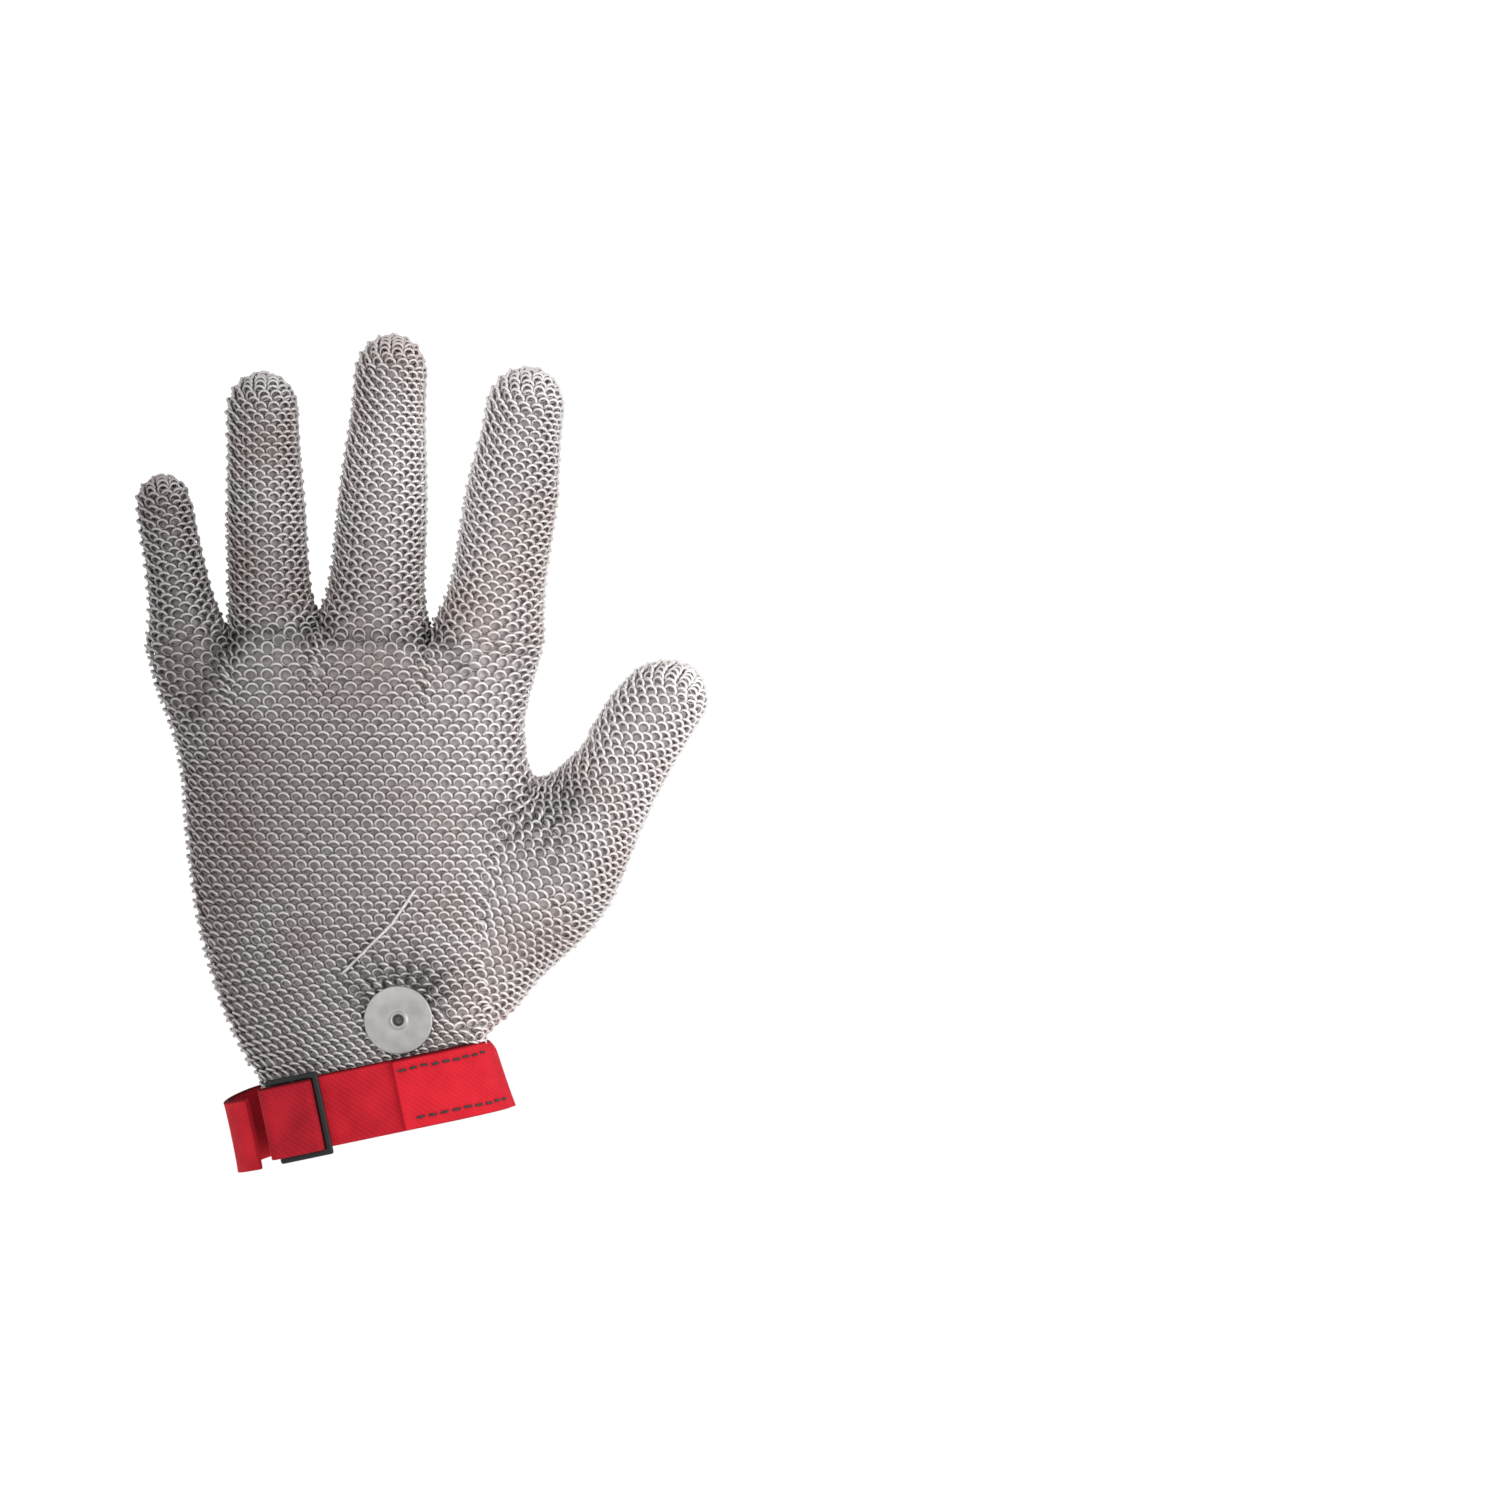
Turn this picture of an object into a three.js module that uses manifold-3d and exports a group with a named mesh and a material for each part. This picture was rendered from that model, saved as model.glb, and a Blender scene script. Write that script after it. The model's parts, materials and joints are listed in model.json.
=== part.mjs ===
// Ring-mesh hand glove with a webbing wrist strap, as an assembly of hollow mesh shells, strap parts,
// a slider and a press stud. Millimetres, +Z towards the fingertips, +X towards the thumb, +Y towards the palm.
// The origin is the centre of the wrist strap.
import * as THREE from 'three';
import { mergeVertices } from 'three/addons/utils/BufferGeometryUtils.js';
import { ParametricGeometry } from 'three/addons/geometries/ParametricGeometry.js';
import Module from 'manifold-3d';

const wasm = await Module();
wasm.setup();

// Driving dimensions
const meshThickness = 1.8;       // a layer of interlinked 4 mm rings
const gap = 0.3;                 // clearance kept between neighbouring solids
const cutHalf = 0.2;             // half the slot between two stretches of a finger
const wedgeMargin = 1.5;         // degrees of spare room in each joint's palm-side notch
const tubeSides = 20;            // facets round a finger

// Each finger: hinge at its root (x, z), lean towards +X in degrees, length from hinge to tip,
// radius at the root, middle and tip, and the share of its length at each knuckle.
const fingers = {
  index: { root: [34.6, 138], lean: 8.6, length: 73.6, radii: [13.6, 12.9, 10.4] },
  middle: { root: [1.9, 141], lean: 3.6, length: 79.2, radii: [12.7, 12.2, 9.6] },
  ring: { root: [-28, 139], lean: -2.0, length: 70.4, radii: [10.8, 10.8, 9.4] },
  little: { root: [-51.2, 136], lean: -10.2, length: 44.8, radii: [9.6, 8.6, 7.4] },
};
const knuckleShares = [0.36, 0.68];
const bends = [70, 80, 48];      // degrees of flexion at the root, middle and end knuckle
const depthShare = 0.84;         // depth of a finger over its width

const thumb = {
  root: [62.4, 83], lean: 34.8, length: 51.5, radii: [15.2, 12.0, 9.9],
  knuckleShares: [0.46], bends: [45, 70],
};
// Ball of the thumb: radius and distance from the thumb's hinge of each station towards the wrist
const thumbBall = [[9, -68], [16.6, -38], [18.4, -17]];
const fingerSink = 24;           // the fingers' roots run this far down inside the hand
const fingerSinkShare = 0.8;     // and narrow to this share of the root radius

// Hand shell: height, little-finger side, thumb side and half depth of each section
const handSections = [
  [-12, -27.5, 31, 15.6],
  [7, -30.4, 32, 15.8],
  [24, -40.2, 34.5, 15.6],
  [46, -46.6, 40.5, 15.2],
  [73, -50.9, 45.5, 15],
  [99, -53.4, 44.6, 14.6],
  [113, -56.8, 44.2, 14],
  [126, -60.6, 46, 13],
  [133, -61.8, 48, 11.6],
];
const sectionPower = 2.5;        // 2 is an ellipse, more is boxier
const handSides = 36;

// Strap
const strapTilt = 11.76;         // degrees that the strap rises towards the thumb
const strapWidth = 20;
const strapThickness = 1.3;
const strapHalfLength = 39.6;
const strapHalfDepth = 18.2;
const strapLift = 2.2;           // the front run's middle above the strap centre
const doubledStart = 9.8;        // along the strap, where the sewn second layer begins
const freeEnd = -32.7;           // along the strap, where the free end stops
const meshHem = -3;              // the mesh ends this far below the strap centre
const thumbSeam = [35, 18, 8.7]; // x and z of a point on the seam beside the thumb, and its lean in degrees
const layerInset = 0.5;          // the sewn layer is narrower than the strap by this at its lower edge
const layerWidth = strapWidth - 1.6;
const threadRadius = 0.35;
const upperStitch = { height: 9.1, start: 1 };    // above the strap centre, and from the layer's end
const lowerStitch = { height: -5, start: 3.5 };
const loopWidth = strapWidth - 0.4;

// Slider
const sliderLength = 15.2;
const sliderHeight = 24;
const sliderBar = 1.9;
const sliderThickness = 1.6;
const sliderCentre = [-18.9, 1.9];
const sliderSlots = 2;

// Press stud
const studPlace = [9, 25.4];     // x and z of its axis
const studDisc = 9.75;           // radius of the outer disc
const studDiscHeight = 1.1;
const studEyelet = 1.3;          // radius of the hole in the disc
const studBarrel = 2.6;          // outer radius of the barrel that clamps the mesh
const socketRadius = 6.4;
const socketHeight = 3;
const studRecess = 0.5;          // room for the curve of the mesh between the disc and the socket
const postRadius = 1.9;
const barrelWall = 0.6;
const springWire = 0.35;
const postFlange = 5.2;
const tabWidth = 15;
const tabThickness = 1.2;
const tabDrop = 28;              // from the stud down to the strap

const cutSize = 400;             // larger than the glove, for the blocks that cut it

const steel = new THREE.MeshStandardMaterial({ color: 0x9c9897, metalness: 1, roughness: 0.38 });
const discSteel = new THREE.MeshStandardMaterial({ color: 0xb2b1b0, metalness: 1, roughness: 0.3 });
const redWebbing = new THREE.MeshStandardMaterial({ color: 0xd3263a, metalness: 0, roughness: 0.85 });
const blackThread = new THREE.MeshStandardMaterial({ color: 0x1c1a1b, metalness: 0, roughness: 0.7 });
const blackPlastic = new THREE.MeshStandardMaterial({ color: 0x17181a, metalness: 0, roughness: 0.45 });

const radians = THREE.MathUtils.degToRad;
const glove = new THREE.Group();

// Booleans
function solid(geometry) {
  const bare = geometry.clone();
  bare.deleteAttribute('normal');
  bare.deleteAttribute('uv');
  const merged = mergeVertices(bare, 1e-4);
  const triVerts = new Uint32Array(merged.index.array);
  const vertProperties = new Float32Array(merged.attributes.position.array);
  return new wasm.Manifold(new wasm.Mesh({ numProp: 3, vertProperties, triVerts }));
}

function geometryOf(made) {
  const mesh = made.getMesh();
  const geometry = new THREE.BufferGeometry();
  geometry.setAttribute('position', new THREE.BufferAttribute(new Float32Array(mesh.vertProperties), 3));
  geometry.setIndex(new THREE.BufferAttribute(new Uint32Array(mesh.triVerts), 1));
  geometry.computeVertexNormals();
  return geometry;
}

function addPart(parent, name, geometry, material) {
  const part = new THREE.Mesh(geometry, material.clone());
  part.name = name;
  parent.add(part);
  return part;
}

// A solid of revolution about local Y from its closed outline, in either direction round
function turned(outline, sides) {
  const points = outline.map(([radius, up]) => new THREE.Vector2(radius, up));
  if (THREE.ShapeUtils.area(points) < 0) points.reverse();
  return new THREE.LatheGeometry(points, sides);
}

// A prism with its outline in the local depth (across) and length (up) plane, centred on x = 0
function prism(outline, width) {
  const shape = new THREE.Shape(outline.map(([across, up]) => new THREE.Vector2(across, up)));
  const geometry = new THREE.ExtrudeGeometry(shape, { depth: width, bevelEnabled: false });
  geometry.applyMatrix4(new THREE.Matrix4().makeBasis(
    new THREE.Vector3(0, 0, 1), new THREE.Vector3(0, 1, 0), new THREE.Vector3(-1, 0, 0)));
  geometry.translate(width / 2, 0, 0);
  return geometry;
}

// Frame of a digit: local Y runs to the tip, local Z to the palm, local X is the bending axis
function digitMatrix({ root, lean }) {
  const up = new THREE.Vector3(Math.sin(radians(lean)), 0, Math.cos(radians(lean)));
  const palm = new THREE.Vector3(0, 1, 0);
  const side = new THREE.Vector3().crossVectors(up, palm);
  return new THREE.Matrix4().makeBasis(side, up, palm).setPosition(root[0], 0, root[1]);
}

// Side outline of a digit from its root to the tip: radii at the root and middle, then a round end
function digitOutline({ length, radii }, inset) {
  const [rootRadius, middleRadius, tipRadius] = radii;
  const roundStart = length - tipRadius * 1.12;
  const points = [
    [rootRadius, 0],
    [(rootRadius + middleRadius) / 2, length * 0.2],
    [middleRadius, length * 0.42],
    [middleRadius * 0.45 + tipRadius * 0.55, length * 0.66],
    [tipRadius, roundStart],
  ].map(([radius, up]) => [radius - inset, up]);
  const roundSteps = 4;
  for (let i = 1; i <= roundSteps; i += 1) {
    const angle = (Math.PI / 2) * (i / roundSteps);
    points.push([
      (tipRadius - inset) * Math.cos(angle),
      roundStart + (length - roundStart - inset) * Math.sin(angle),
    ]);
  }
  points[points.length - 1][0] = 0;
  return points;
}

function digitShell(digit) {
  const inner = digitOutline(digit, meshThickness).reverse();
  const outer = digitOutline(digit, 0);
  const geometry = turned([...inner, ...outer], tubeSides);
  geometry.scale(1, 1, depthShare);
  return solid(geometry);
}

// Outline that keeps the stretch of a digit between two heights, notched on the palm side for bending
function stretchOutline(low, high, lowBend, highBend) {
  const reach = cutSize / 10;
  const lowSlope = Math.tan(radians(lowBend / 2 + wedgeMargin));
  const highSlope = Math.tan(radians(highBend / 2 + wedgeMargin));
  return [
    [-reach, low + cutHalf],
    [0, low + cutHalf],
    [reach, low + cutHalf + reach * lowSlope],
    [reach, high - cutHalf - reach * highSlope],
    [0, high - cutHalf],
    [-reach, high - cutHalf],
  ];
}

// The notches meet before they reach the full width, so the outline is trimmed where they cross
function trimmedStretch(low, high, lowBend, highBend) {
  const outline = stretchOutline(low, high, lowBend, highBend);
  const [, lowKnee, lowFar, highFar, highKnee] = outline;
  if (lowFar[1] < highFar[1]) return outline;
  const reach = lowFar[0];
  const lowSlope = (lowFar[1] - lowKnee[1]) / reach;
  const highSlope = (highKnee[1] - highFar[1]) / reach;
  const across = (highKnee[1] - lowKnee[1]) / (lowSlope + highSlope);
  const meeting = [across, lowKnee[1] + across * lowSlope];
  return [outline[0], lowKnee, meeting, highKnee, outline[5]];
}

function addDigit(name, digit, stretches, shares, digitBends) {
  const frame = new THREE.Group();
  frame.applyMatrix4(digitMatrix(digit));
  glove.add(frame);
  const shell = digitShell(digit);
  const pastTip = digit.length + meshThickness;
  const cuts = [0, ...shares.map((share) => share * digit.length), pastTip];
  stretches.forEach((stretch, i) => {
    const outline = trimmedStretch(cuts[i], cuts[i + 1], digitBends[i], digitBends[i + 1] ?? 0);
    const piece = shell.intersect(solid(prism(outline, cutSize)));
    addPart(frame, `${name}_${stretch}_mesh`, geometryOf(piece), steel);
  });
}

// Section of the hand at a height, between the two listed sections beside it
function sectionAt(height) {
  const above = handSections.findIndex(([level]) => level >= height);
  const at = THREE.MathUtils.clamp(above, 1, handSections.length - 1);
  const low = handSections[at - 1];
  const high = handSections[at];
  const share = (height - low[0]) / (high[0] - low[0]);
  return low.map((value, i) => THREE.MathUtils.lerp(value, high[i], share));
}

// Hand: a lofted solid, shrunk by inset on all sides
function handBody(inset) {
  const last = handSections.length - 1;
  const bottom = handSections[0][0];
  const top = handSections[last][0] - inset;
  const rows = last + 2;
  const place = (around, along, target) => {
    const row = Math.round(along * rows);
    const height = row === 0 ? bottom
      : Math.min(top, handSections[Math.min(row - 1, last)][0]);
    const [, littleSide, thumbSide, halfDepth] = sectionAt(height);
    const closed = row === 0 || row === rows;
    const halfWidth = closed ? 0 : (thumbSide - littleSide) / 2 - inset;
    const depth = closed ? 0 : halfDepth - inset;
    const angle = around * 2 * Math.PI;
    const cosine = Math.cos(angle);
    const sine = Math.sin(angle);
    const power = 2 / sectionPower;
    target.set(
      (littleSide + thumbSide) / 2 + halfWidth * Math.sign(cosine) * Math.abs(cosine) ** power,
      depth * Math.sign(sine) * Math.abs(sine) ** power,
      height,
    );
  };
  return solid(new ParametricGeometry(place, handSides, rows));
}

// Root of a digit, sunk into the hand, as a solid of revolution about the digit's own axis
function digitRoot(digit, stations, inset) {
  const geometry = turned(stations.map(([radius, up]) => [Math.max(radius - inset, 0), up]), tubeSides);
  geometry.scale(1, 1, depthShare);
  geometry.applyMatrix4(digitMatrix(digit));
  return solid(geometry);
}

function handRoots(inset) {
  const top = inset + 0.01;      // just past the hinge, where the cutters take the root off
  const low = inset - fingerSink;
  const made = Object.values(fingers).map((digit) => {
    const radius = digit.radii[0];
    const stations = [
      [0, low],
      [radius * fingerSinkShare, low],
      [radius, -fingerSink / 3],
      [radius, top],
      [0, top],
    ];
    return digitRoot(digit, stations, inset);
  });
  const [back, ...ball] = thumbBall;
  const thumbStations = [
    [0, back[1] + inset],
    [back[0], back[1] + inset],
    ...ball,
    [thumb.radii[0], top],
    [0, top],
  ];
  made.push(digitRoot(thumb, thumbStations, inset));
  return made;
}

function strapMatrix() {
  const tilt = radians(strapTilt);
  const alongStrap = new THREE.Vector3(Math.cos(tilt), 0, Math.sin(tilt));
  const upStrap = new THREE.Vector3(-Math.sin(tilt), 0, Math.cos(tilt));
  return new THREE.Matrix4().makeBasis(alongStrap, new THREE.Vector3(0, 1, 0), upStrap);
}

function makeHand() {
  const withRoots = (inset) => handRoots(inset).reduce((sum, root) => sum.add(root), handBody(inset));
  let shell = withRoots(0).subtract(withRoots(meshThickness));
  // above each hinge the digit takes over, and its palm-side notch is cut down into the hand
  const reach = cutSize / 10;
  const cutters = Object.values(fingers).map((digit) => [digit, bends[0], 1.5]);
  cutters.push([thumb, thumb.bends[0], 6]);
  for (const [digit, bend, spare] of cutters) {
    const slope = Math.tan(radians(bend / 2 + wedgeMargin));
    const outline = [
      [-reach, -cutHalf],
      [0, -cutHalf],
      [reach, -cutHalf - reach * slope],
      [reach, reach],
      [-reach, reach],
    ];
    const cutter = prism(outline, (digit.radii[0] + spare) * 2);
    cutter.applyMatrix4(digitMatrix(digit));
    shell = shell.subtract(solid(cutter));
  }
  // the hem follows the strap
  const below = new THREE.BoxGeometry(cutSize, cutSize, cutSize);
  below.translate(0, 0, meshHem - cutSize / 2);
  below.applyMatrix4(strapMatrix());
  shell = shell.subtract(solid(below));
  const hole = new THREE.CylinderGeometry(studBarrel + gap, studBarrel + gap, 20, 20);
  hole.translate(studPlace[0], -studDepth, studPlace[1]);
  return shell.subtract(solid(hole));
}

// The hand is linked together from a back panel, a palm panel and the root of the thumb
function handPanels(shell) {
  const thumbSide = (clear) => {
    const box = new THREE.BoxGeometry(cutSize, cutSize, cutSize);
    box.translate(cutSize / 2 + clear, 0, 0);
    box.rotateY(radians(thumbSeam[2]));
    box.translate(thumbSeam[0], 0, thumbSeam[1]);
    return solid(box);
  };
  const side = (sign) => {
    const box = new THREE.BoxGeometry(cutSize, cutSize, cutSize);
    box.translate(0, (sign * (cutSize + gap)) / 2, 0);
    return solid(box);
  };
  const rest = shell.subtract(thumbSide(-gap / 2));
  return {
    back_panel_mesh: rest.intersect(side(-1)),
    palm_panel_mesh: rest.intersect(side(1)),
    thumb_root_mesh: shell.intersect(thumbSide(gap / 2)),
  };
}

// Depth of the hand's outer surface under the press stud
function handDepth(x, z) {
  const [, littleSide, thumbSide, halfDepth] = sectionAt(z);
  const across = Math.abs(x - (littleSide + thumbSide) / 2) / ((thumbSide - littleSide) / 2);
  return halfDepth * (1 - across ** sectionPower) ** (1 / sectionPower);
}
const studDepth = handDepth(...studPlace);

for (const [name, panel] of Object.entries(handPanels(makeHand()))) {
  addPart(glove, name, geometryOf(panel), steel);
}
for (const [name, digit] of Object.entries(fingers)) {
  addDigit(name, digit, ['proximal', 'middle', 'distal'], knuckleShares, bends);
}
addDigit('thumb', thumb, ['proximal', 'distal'], thumb.knuckleShares, thumb.bends);

// Strap frame: local X along the strap, local Y in depth, local Z across its width
const strapFrame = new THREE.Group();
strapFrame.applyMatrix4(strapMatrix());
glove.add(strapFrame);

// A ribbon on edge: a centreline in the length and depth plane, thickened and raised to the strap's width
function ribbon(centreline, thickness, width) {
  const line = centreline.map(([along, deep]) => new THREE.Vector2(along, deep));
  const sides = [1, -1].map((side) => line.map((point, i) => {
    const before = line[Math.max(i - 1, 0)];
    const after = line[Math.min(i + 1, line.length - 1)];
    const tangent = after.clone().sub(before).normalize();
    return new THREE.Vector2(-tangent.y, tangent.x).multiplyScalar((side * thickness) / 2).add(point);
  }));
  const shape = new THREE.Shape([...sides[0], ...sides[1].reverse()]);
  return new THREE.ExtrudeGeometry(shape, { depth: width, bevelEnabled: false });
}

function arcPoints(centre, radius, from, to, steps) {
  return Array.from({ length: steps + 1 }, (_, i) => {
    const angle = radians(from + ((to - from) * i) / steps);
    return [centre[0] + radius * Math.cos(angle), centre[1] + radius * Math.sin(angle)];
  });
}

const bandRadius = strapHalfDepth - strapThickness / 2;
const bendCentre = strapHalfLength - strapHalfDepth;
// the free end stops where the left bend has come round to freeEnd
const freeAngle = 180 + THREE.MathUtils.radToDeg(Math.acos((-bendCentre - freeEnd) / bandRadius));
const bandLine = [
  [-22, -bandRadius],
  [doubledStart - 1, -bandRadius],
  ...arcPoints([bendCentre, 0], bandRadius, -90, 90, 12),
  ...arcPoints([-bendCentre, 0], bandRadius, 90, freeAngle, 12),
];
const band = ribbon(bandLine, strapThickness, strapWidth);
band.translate(0, 0, strapLift - strapWidth / 2);
addPart(strapFrame, 'strap_band', band, redWebbing);

// The sewn second layer, outside the first, up to where the strap turns round the wrist
const layerRadius = bandRadius + strapThickness + gap;
const layerLine = [
  [doubledStart, -layerRadius],
  [(doubledStart + bendCentre) / 2, -layerRadius],
  ...arcPoints([bendCentre, 0], layerRadius, -90, -12, 7),
];
const layer = ribbon(layerLine, strapThickness, layerWidth);
layer.translate(0, 0, strapLift - strapWidth / 2 + layerInset);
addPart(strapFrame, 'strap_doubled_layer', layer, redWebbing);

// Stitch threads lie on the doubled layer as one continuous thread per row
function addStitch(name, { height, start }) {
  const lineRadius = layerRadius + strapThickness / 2 + gap + threadRadius;
  const route = [
    [doubledStart + start, -lineRadius],
    ...arcPoints([bendCentre, 0], lineRadius, -90, -38, 6),
  ].map(([along, deep]) => new THREE.Vector3(along, deep, height));
  const path = new THREE.CatmullRomCurve3(route);
  const round = new THREE.Shape().absarc(0, 0, threadRadius, 0, 2 * Math.PI);
  const thread = new THREE.ExtrudeGeometry(round, { steps: 14, curveSegments: 3, extrudePath: path });
  addPart(strapFrame, name, thread, blackThread);
}
addStitch('stitch_thread_upper', upperStitch);
addStitch('stitch_thread_lower', lowerStitch);

// Slider frame: two slots either side of a middle bar, lying on the front of the band
const underLoop = strapHalfDepth + gap + strapThickness;
const sliderDepth = underLoop + gap;
function sliderFrame() {
  const halfLength = sliderLength / 2;
  const halfHeight = sliderHeight / 2;
  const corner = 1.2;
  const outline = new THREE.Shape();
  outline.moveTo(-halfLength + corner, -halfHeight);
  outline.lineTo(halfLength - corner, -halfHeight);
  outline.absarc(halfLength - corner, -halfHeight + corner, corner, -Math.PI / 2, 0);
  outline.absarc(halfLength - corner, halfHeight - corner, corner, 0, Math.PI / 2);
  outline.absarc(-halfLength + corner, halfHeight - corner, corner, Math.PI / 2, Math.PI);
  outline.absarc(-halfLength + corner, -halfHeight + corner, corner, Math.PI, 1.5 * Math.PI);
  const plate = new THREE.ExtrudeGeometry(outline, {
    depth: sliderThickness, bevelEnabled: false, curveSegments: 4,
  });
  let frame = solid(plate);
  const slotWidth = (sliderLength - (sliderSlots + 1) * sliderBar) / sliderSlots;
  for (let i = 0; i < sliderSlots; i += 1) {
    const slot = new THREE.BoxGeometry(slotWidth, sliderHeight - 2 * sliderBar, 10);
    slot.translate(-halfLength + sliderBar + slotWidth / 2 + i * (slotWidth + sliderBar), 0, 0);
    frame = frame.subtract(solid(slot));
  }
  const geometry = geometryOf(frame);
  geometry.rotateX(Math.PI / 2);
  return geometry;
}
const slider = sliderFrame();
slider.translate(sliderCentre[0], -sliderDepth, sliderCentre[1]);
addPart(strapFrame, 'slider_frame', slider, blackPlastic);

// Strap loop: under the frame, round its left bar and over to the right slot
function loopLine() {
  const left = sliderCentre[0] - sliderLength / 2;
  const right = sliderCentre[0] + sliderLength / 2;
  const turn = (sliderThickness + strapThickness) / 2 + gap;
  const middle = -sliderDepth - sliderThickness / 2;
  const slotRight = right - sliderBar - gap - strapThickness / 2;
  return [
    [right, middle + turn],
    ...arcPoints([left, middle], turn, 90, 270, 8),
    [slotRight - 1.4, middle - turn],
    [slotRight - 0.45, middle - turn + 0.35],
    [slotRight, middle - turn + 1.3],
    [slotRight, middle + sliderThickness / 2],
  ];
}
const loop = ribbon(loopLine(), strapThickness, loopWidth);
loop.translate(0, 0, sliderCentre[1] - loopWidth / 2);
addPart(strapFrame, 'strap_loop', loop, redWebbing);

// Press stud, on an axis along Y: cap outside the mesh, socket and spring inside, post on the strap tab
const studFrame = new THREE.Group();
studFrame.position.set(studPlace[0], 0, studPlace[1]);
glove.add(studFrame);

function addTurned(name, profile, material, sides = 28) {
  addPart(studFrame, name, turned(profile, sides), material);
}

const discBack = -studDepth - 0.5;
const discFront = discBack - studDiscHeight;
const socketFront = -studDepth + meshThickness + 2 * gap + studRecess;
const socketBack = socketFront + socketHeight;
const barrelEnd = socketFront + 1;
addTurned('stud_cap', [
  [studEyelet, discFront + 0.35],
  [studEyelet, barrelEnd],
  [studEyelet + barrelWall, barrelEnd],
  [studEyelet + barrelWall, discBack],
  [studDisc - 0.4, discBack],
  [studDisc, discBack - 0.4],
  [studDisc - 0.5, discFront + 0.35],
  [studDisc * 0.6, discFront],
  [studEyelet + 1.3, discFront],
  [studEyelet + 1.1, discFront - 0.25],
  [studEyelet + 0.5, discFront - 0.25],
  [studEyelet, discFront + 0.35],
], discSteel);

const socketBore = postRadius + 1.1;
addTurned('stud_socket', [
  [studEyelet + barrelWall + gap, socketFront],
  [studEyelet + barrelWall + gap, socketFront + 0.6],
  [socketBore + 0.6, socketFront + 0.6],
  [socketBore + 0.6, socketBack - 0.5],
  [socketBore - 0.35, socketBack - 0.5],
  [socketBore - 0.35, socketBack],
  [socketRadius - 0.4, socketBack],
  [socketRadius, socketBack - 0.6],
  [socketRadius, socketFront],
  [studEyelet + barrelWall + gap, socketFront],
], discSteel);

const springRing = new THREE.TorusGeometry(postRadius + 0.3 + springWire + 0.05, springWire, 8, 20);
springRing.rotateX(Math.PI / 2);
springRing.translate(0, socketBack - 1.35, 0);
addPart(studFrame, 'stud_spring', springRing, discSteel);

const tabFront = socketBack + 0.9;
const tabBack = tabFront + tabThickness;
addTurned('stud_post', [
  [0, socketBack - 1.7],
  [postRadius - 0.3, socketBack - 1.7],
  [postRadius, socketBack - 1.2],
  [postRadius - 0.3, socketBack - 0.4],
  [postRadius - 0.3, socketBack + gap],
  [postFlange, socketBack + gap],
  [postFlange, tabFront - gap],
  [1.2, tabFront - gap],
  [1.2, tabBack + gap - 0.15],
  [0, tabBack + gap - 0.15],
], discSteel);

addTurned('stud_back_eyelet', [
  [1.5, tabBack + gap],
  [4.6, tabBack + gap],
  [4.6, tabBack + gap + 0.5],
  [4, tabBack + gap + 0.8],
  [1.5, tabBack + gap + 0.8],
  [1.5, tabBack + gap],
], discSteel);

// Strap tab: rises inside the cuff from the strap to the press stud
function strapTab() {
  const up = new THREE.Vector2(-Math.sin(radians(strapTilt)), Math.cos(radians(strapTilt)));
  const outline = new THREE.Shape();
  const half = tabWidth / 2;
  outline.moveTo(-half, -tabDrop);
  outline.lineTo(half, -tabDrop);
  outline.absarc(0, 0, half, 0, Math.PI);
  outline.closePath();
  const hole = new THREE.Path().absarc(0, 0, 1.5, 0, 2 * Math.PI, true);
  outline.holes.push(hole);
  const tab = new THREE.ExtrudeGeometry(outline, { depth: tabThickness, bevelEnabled: false, curveSegments: 7 });
  tab.rotateX(Math.PI / 2);
  tab.rotateY(Math.atan2(up.x, up.y));
  tab.translate(0, tabBack, 0);
  return tab;
}
addPart(studFrame, 'strap_tab', strapTab(), redWebbing);

export default glove;
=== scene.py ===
import json
import math
import bmesh
import bpy
import numpy as np
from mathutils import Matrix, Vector


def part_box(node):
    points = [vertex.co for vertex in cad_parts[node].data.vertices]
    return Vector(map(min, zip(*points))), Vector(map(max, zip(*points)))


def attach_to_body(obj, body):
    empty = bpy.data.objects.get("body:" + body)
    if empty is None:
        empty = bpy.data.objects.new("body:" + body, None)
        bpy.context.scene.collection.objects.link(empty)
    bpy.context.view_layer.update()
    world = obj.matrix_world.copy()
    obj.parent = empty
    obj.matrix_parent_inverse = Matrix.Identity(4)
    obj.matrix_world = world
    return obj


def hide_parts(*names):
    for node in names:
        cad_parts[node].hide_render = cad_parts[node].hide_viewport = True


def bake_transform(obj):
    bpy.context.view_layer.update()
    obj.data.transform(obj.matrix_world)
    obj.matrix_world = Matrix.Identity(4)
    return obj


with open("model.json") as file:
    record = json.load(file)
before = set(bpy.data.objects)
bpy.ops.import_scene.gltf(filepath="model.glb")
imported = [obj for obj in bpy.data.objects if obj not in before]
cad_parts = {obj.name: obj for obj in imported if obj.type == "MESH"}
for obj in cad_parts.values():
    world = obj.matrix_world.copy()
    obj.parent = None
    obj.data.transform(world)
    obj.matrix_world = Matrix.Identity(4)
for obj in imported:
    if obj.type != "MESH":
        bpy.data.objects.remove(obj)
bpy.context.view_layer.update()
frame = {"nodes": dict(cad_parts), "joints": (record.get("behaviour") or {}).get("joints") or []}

mm = 0.001
joints = {joint["name"]: joint for joint in frame["joints"]}
mixA, mixB, mixResult = 6, 7, 2     # a Mix node's colour sockets, whose names its number sockets have too
print("frame loaded")


def srgb(hexColour):
    # a colour as painters and screens name it, turned to the linear values that shaders add up
    parts = [int(hexColour[i:i + 2], 16) / 255 for i in (1, 3, 5)]
    linear = [part / 12.92 if part <= 0.04045 else ((part + 0.055) / 1.055) ** 2.4 for part in parts]
    return (*linear, 1.0)


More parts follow.
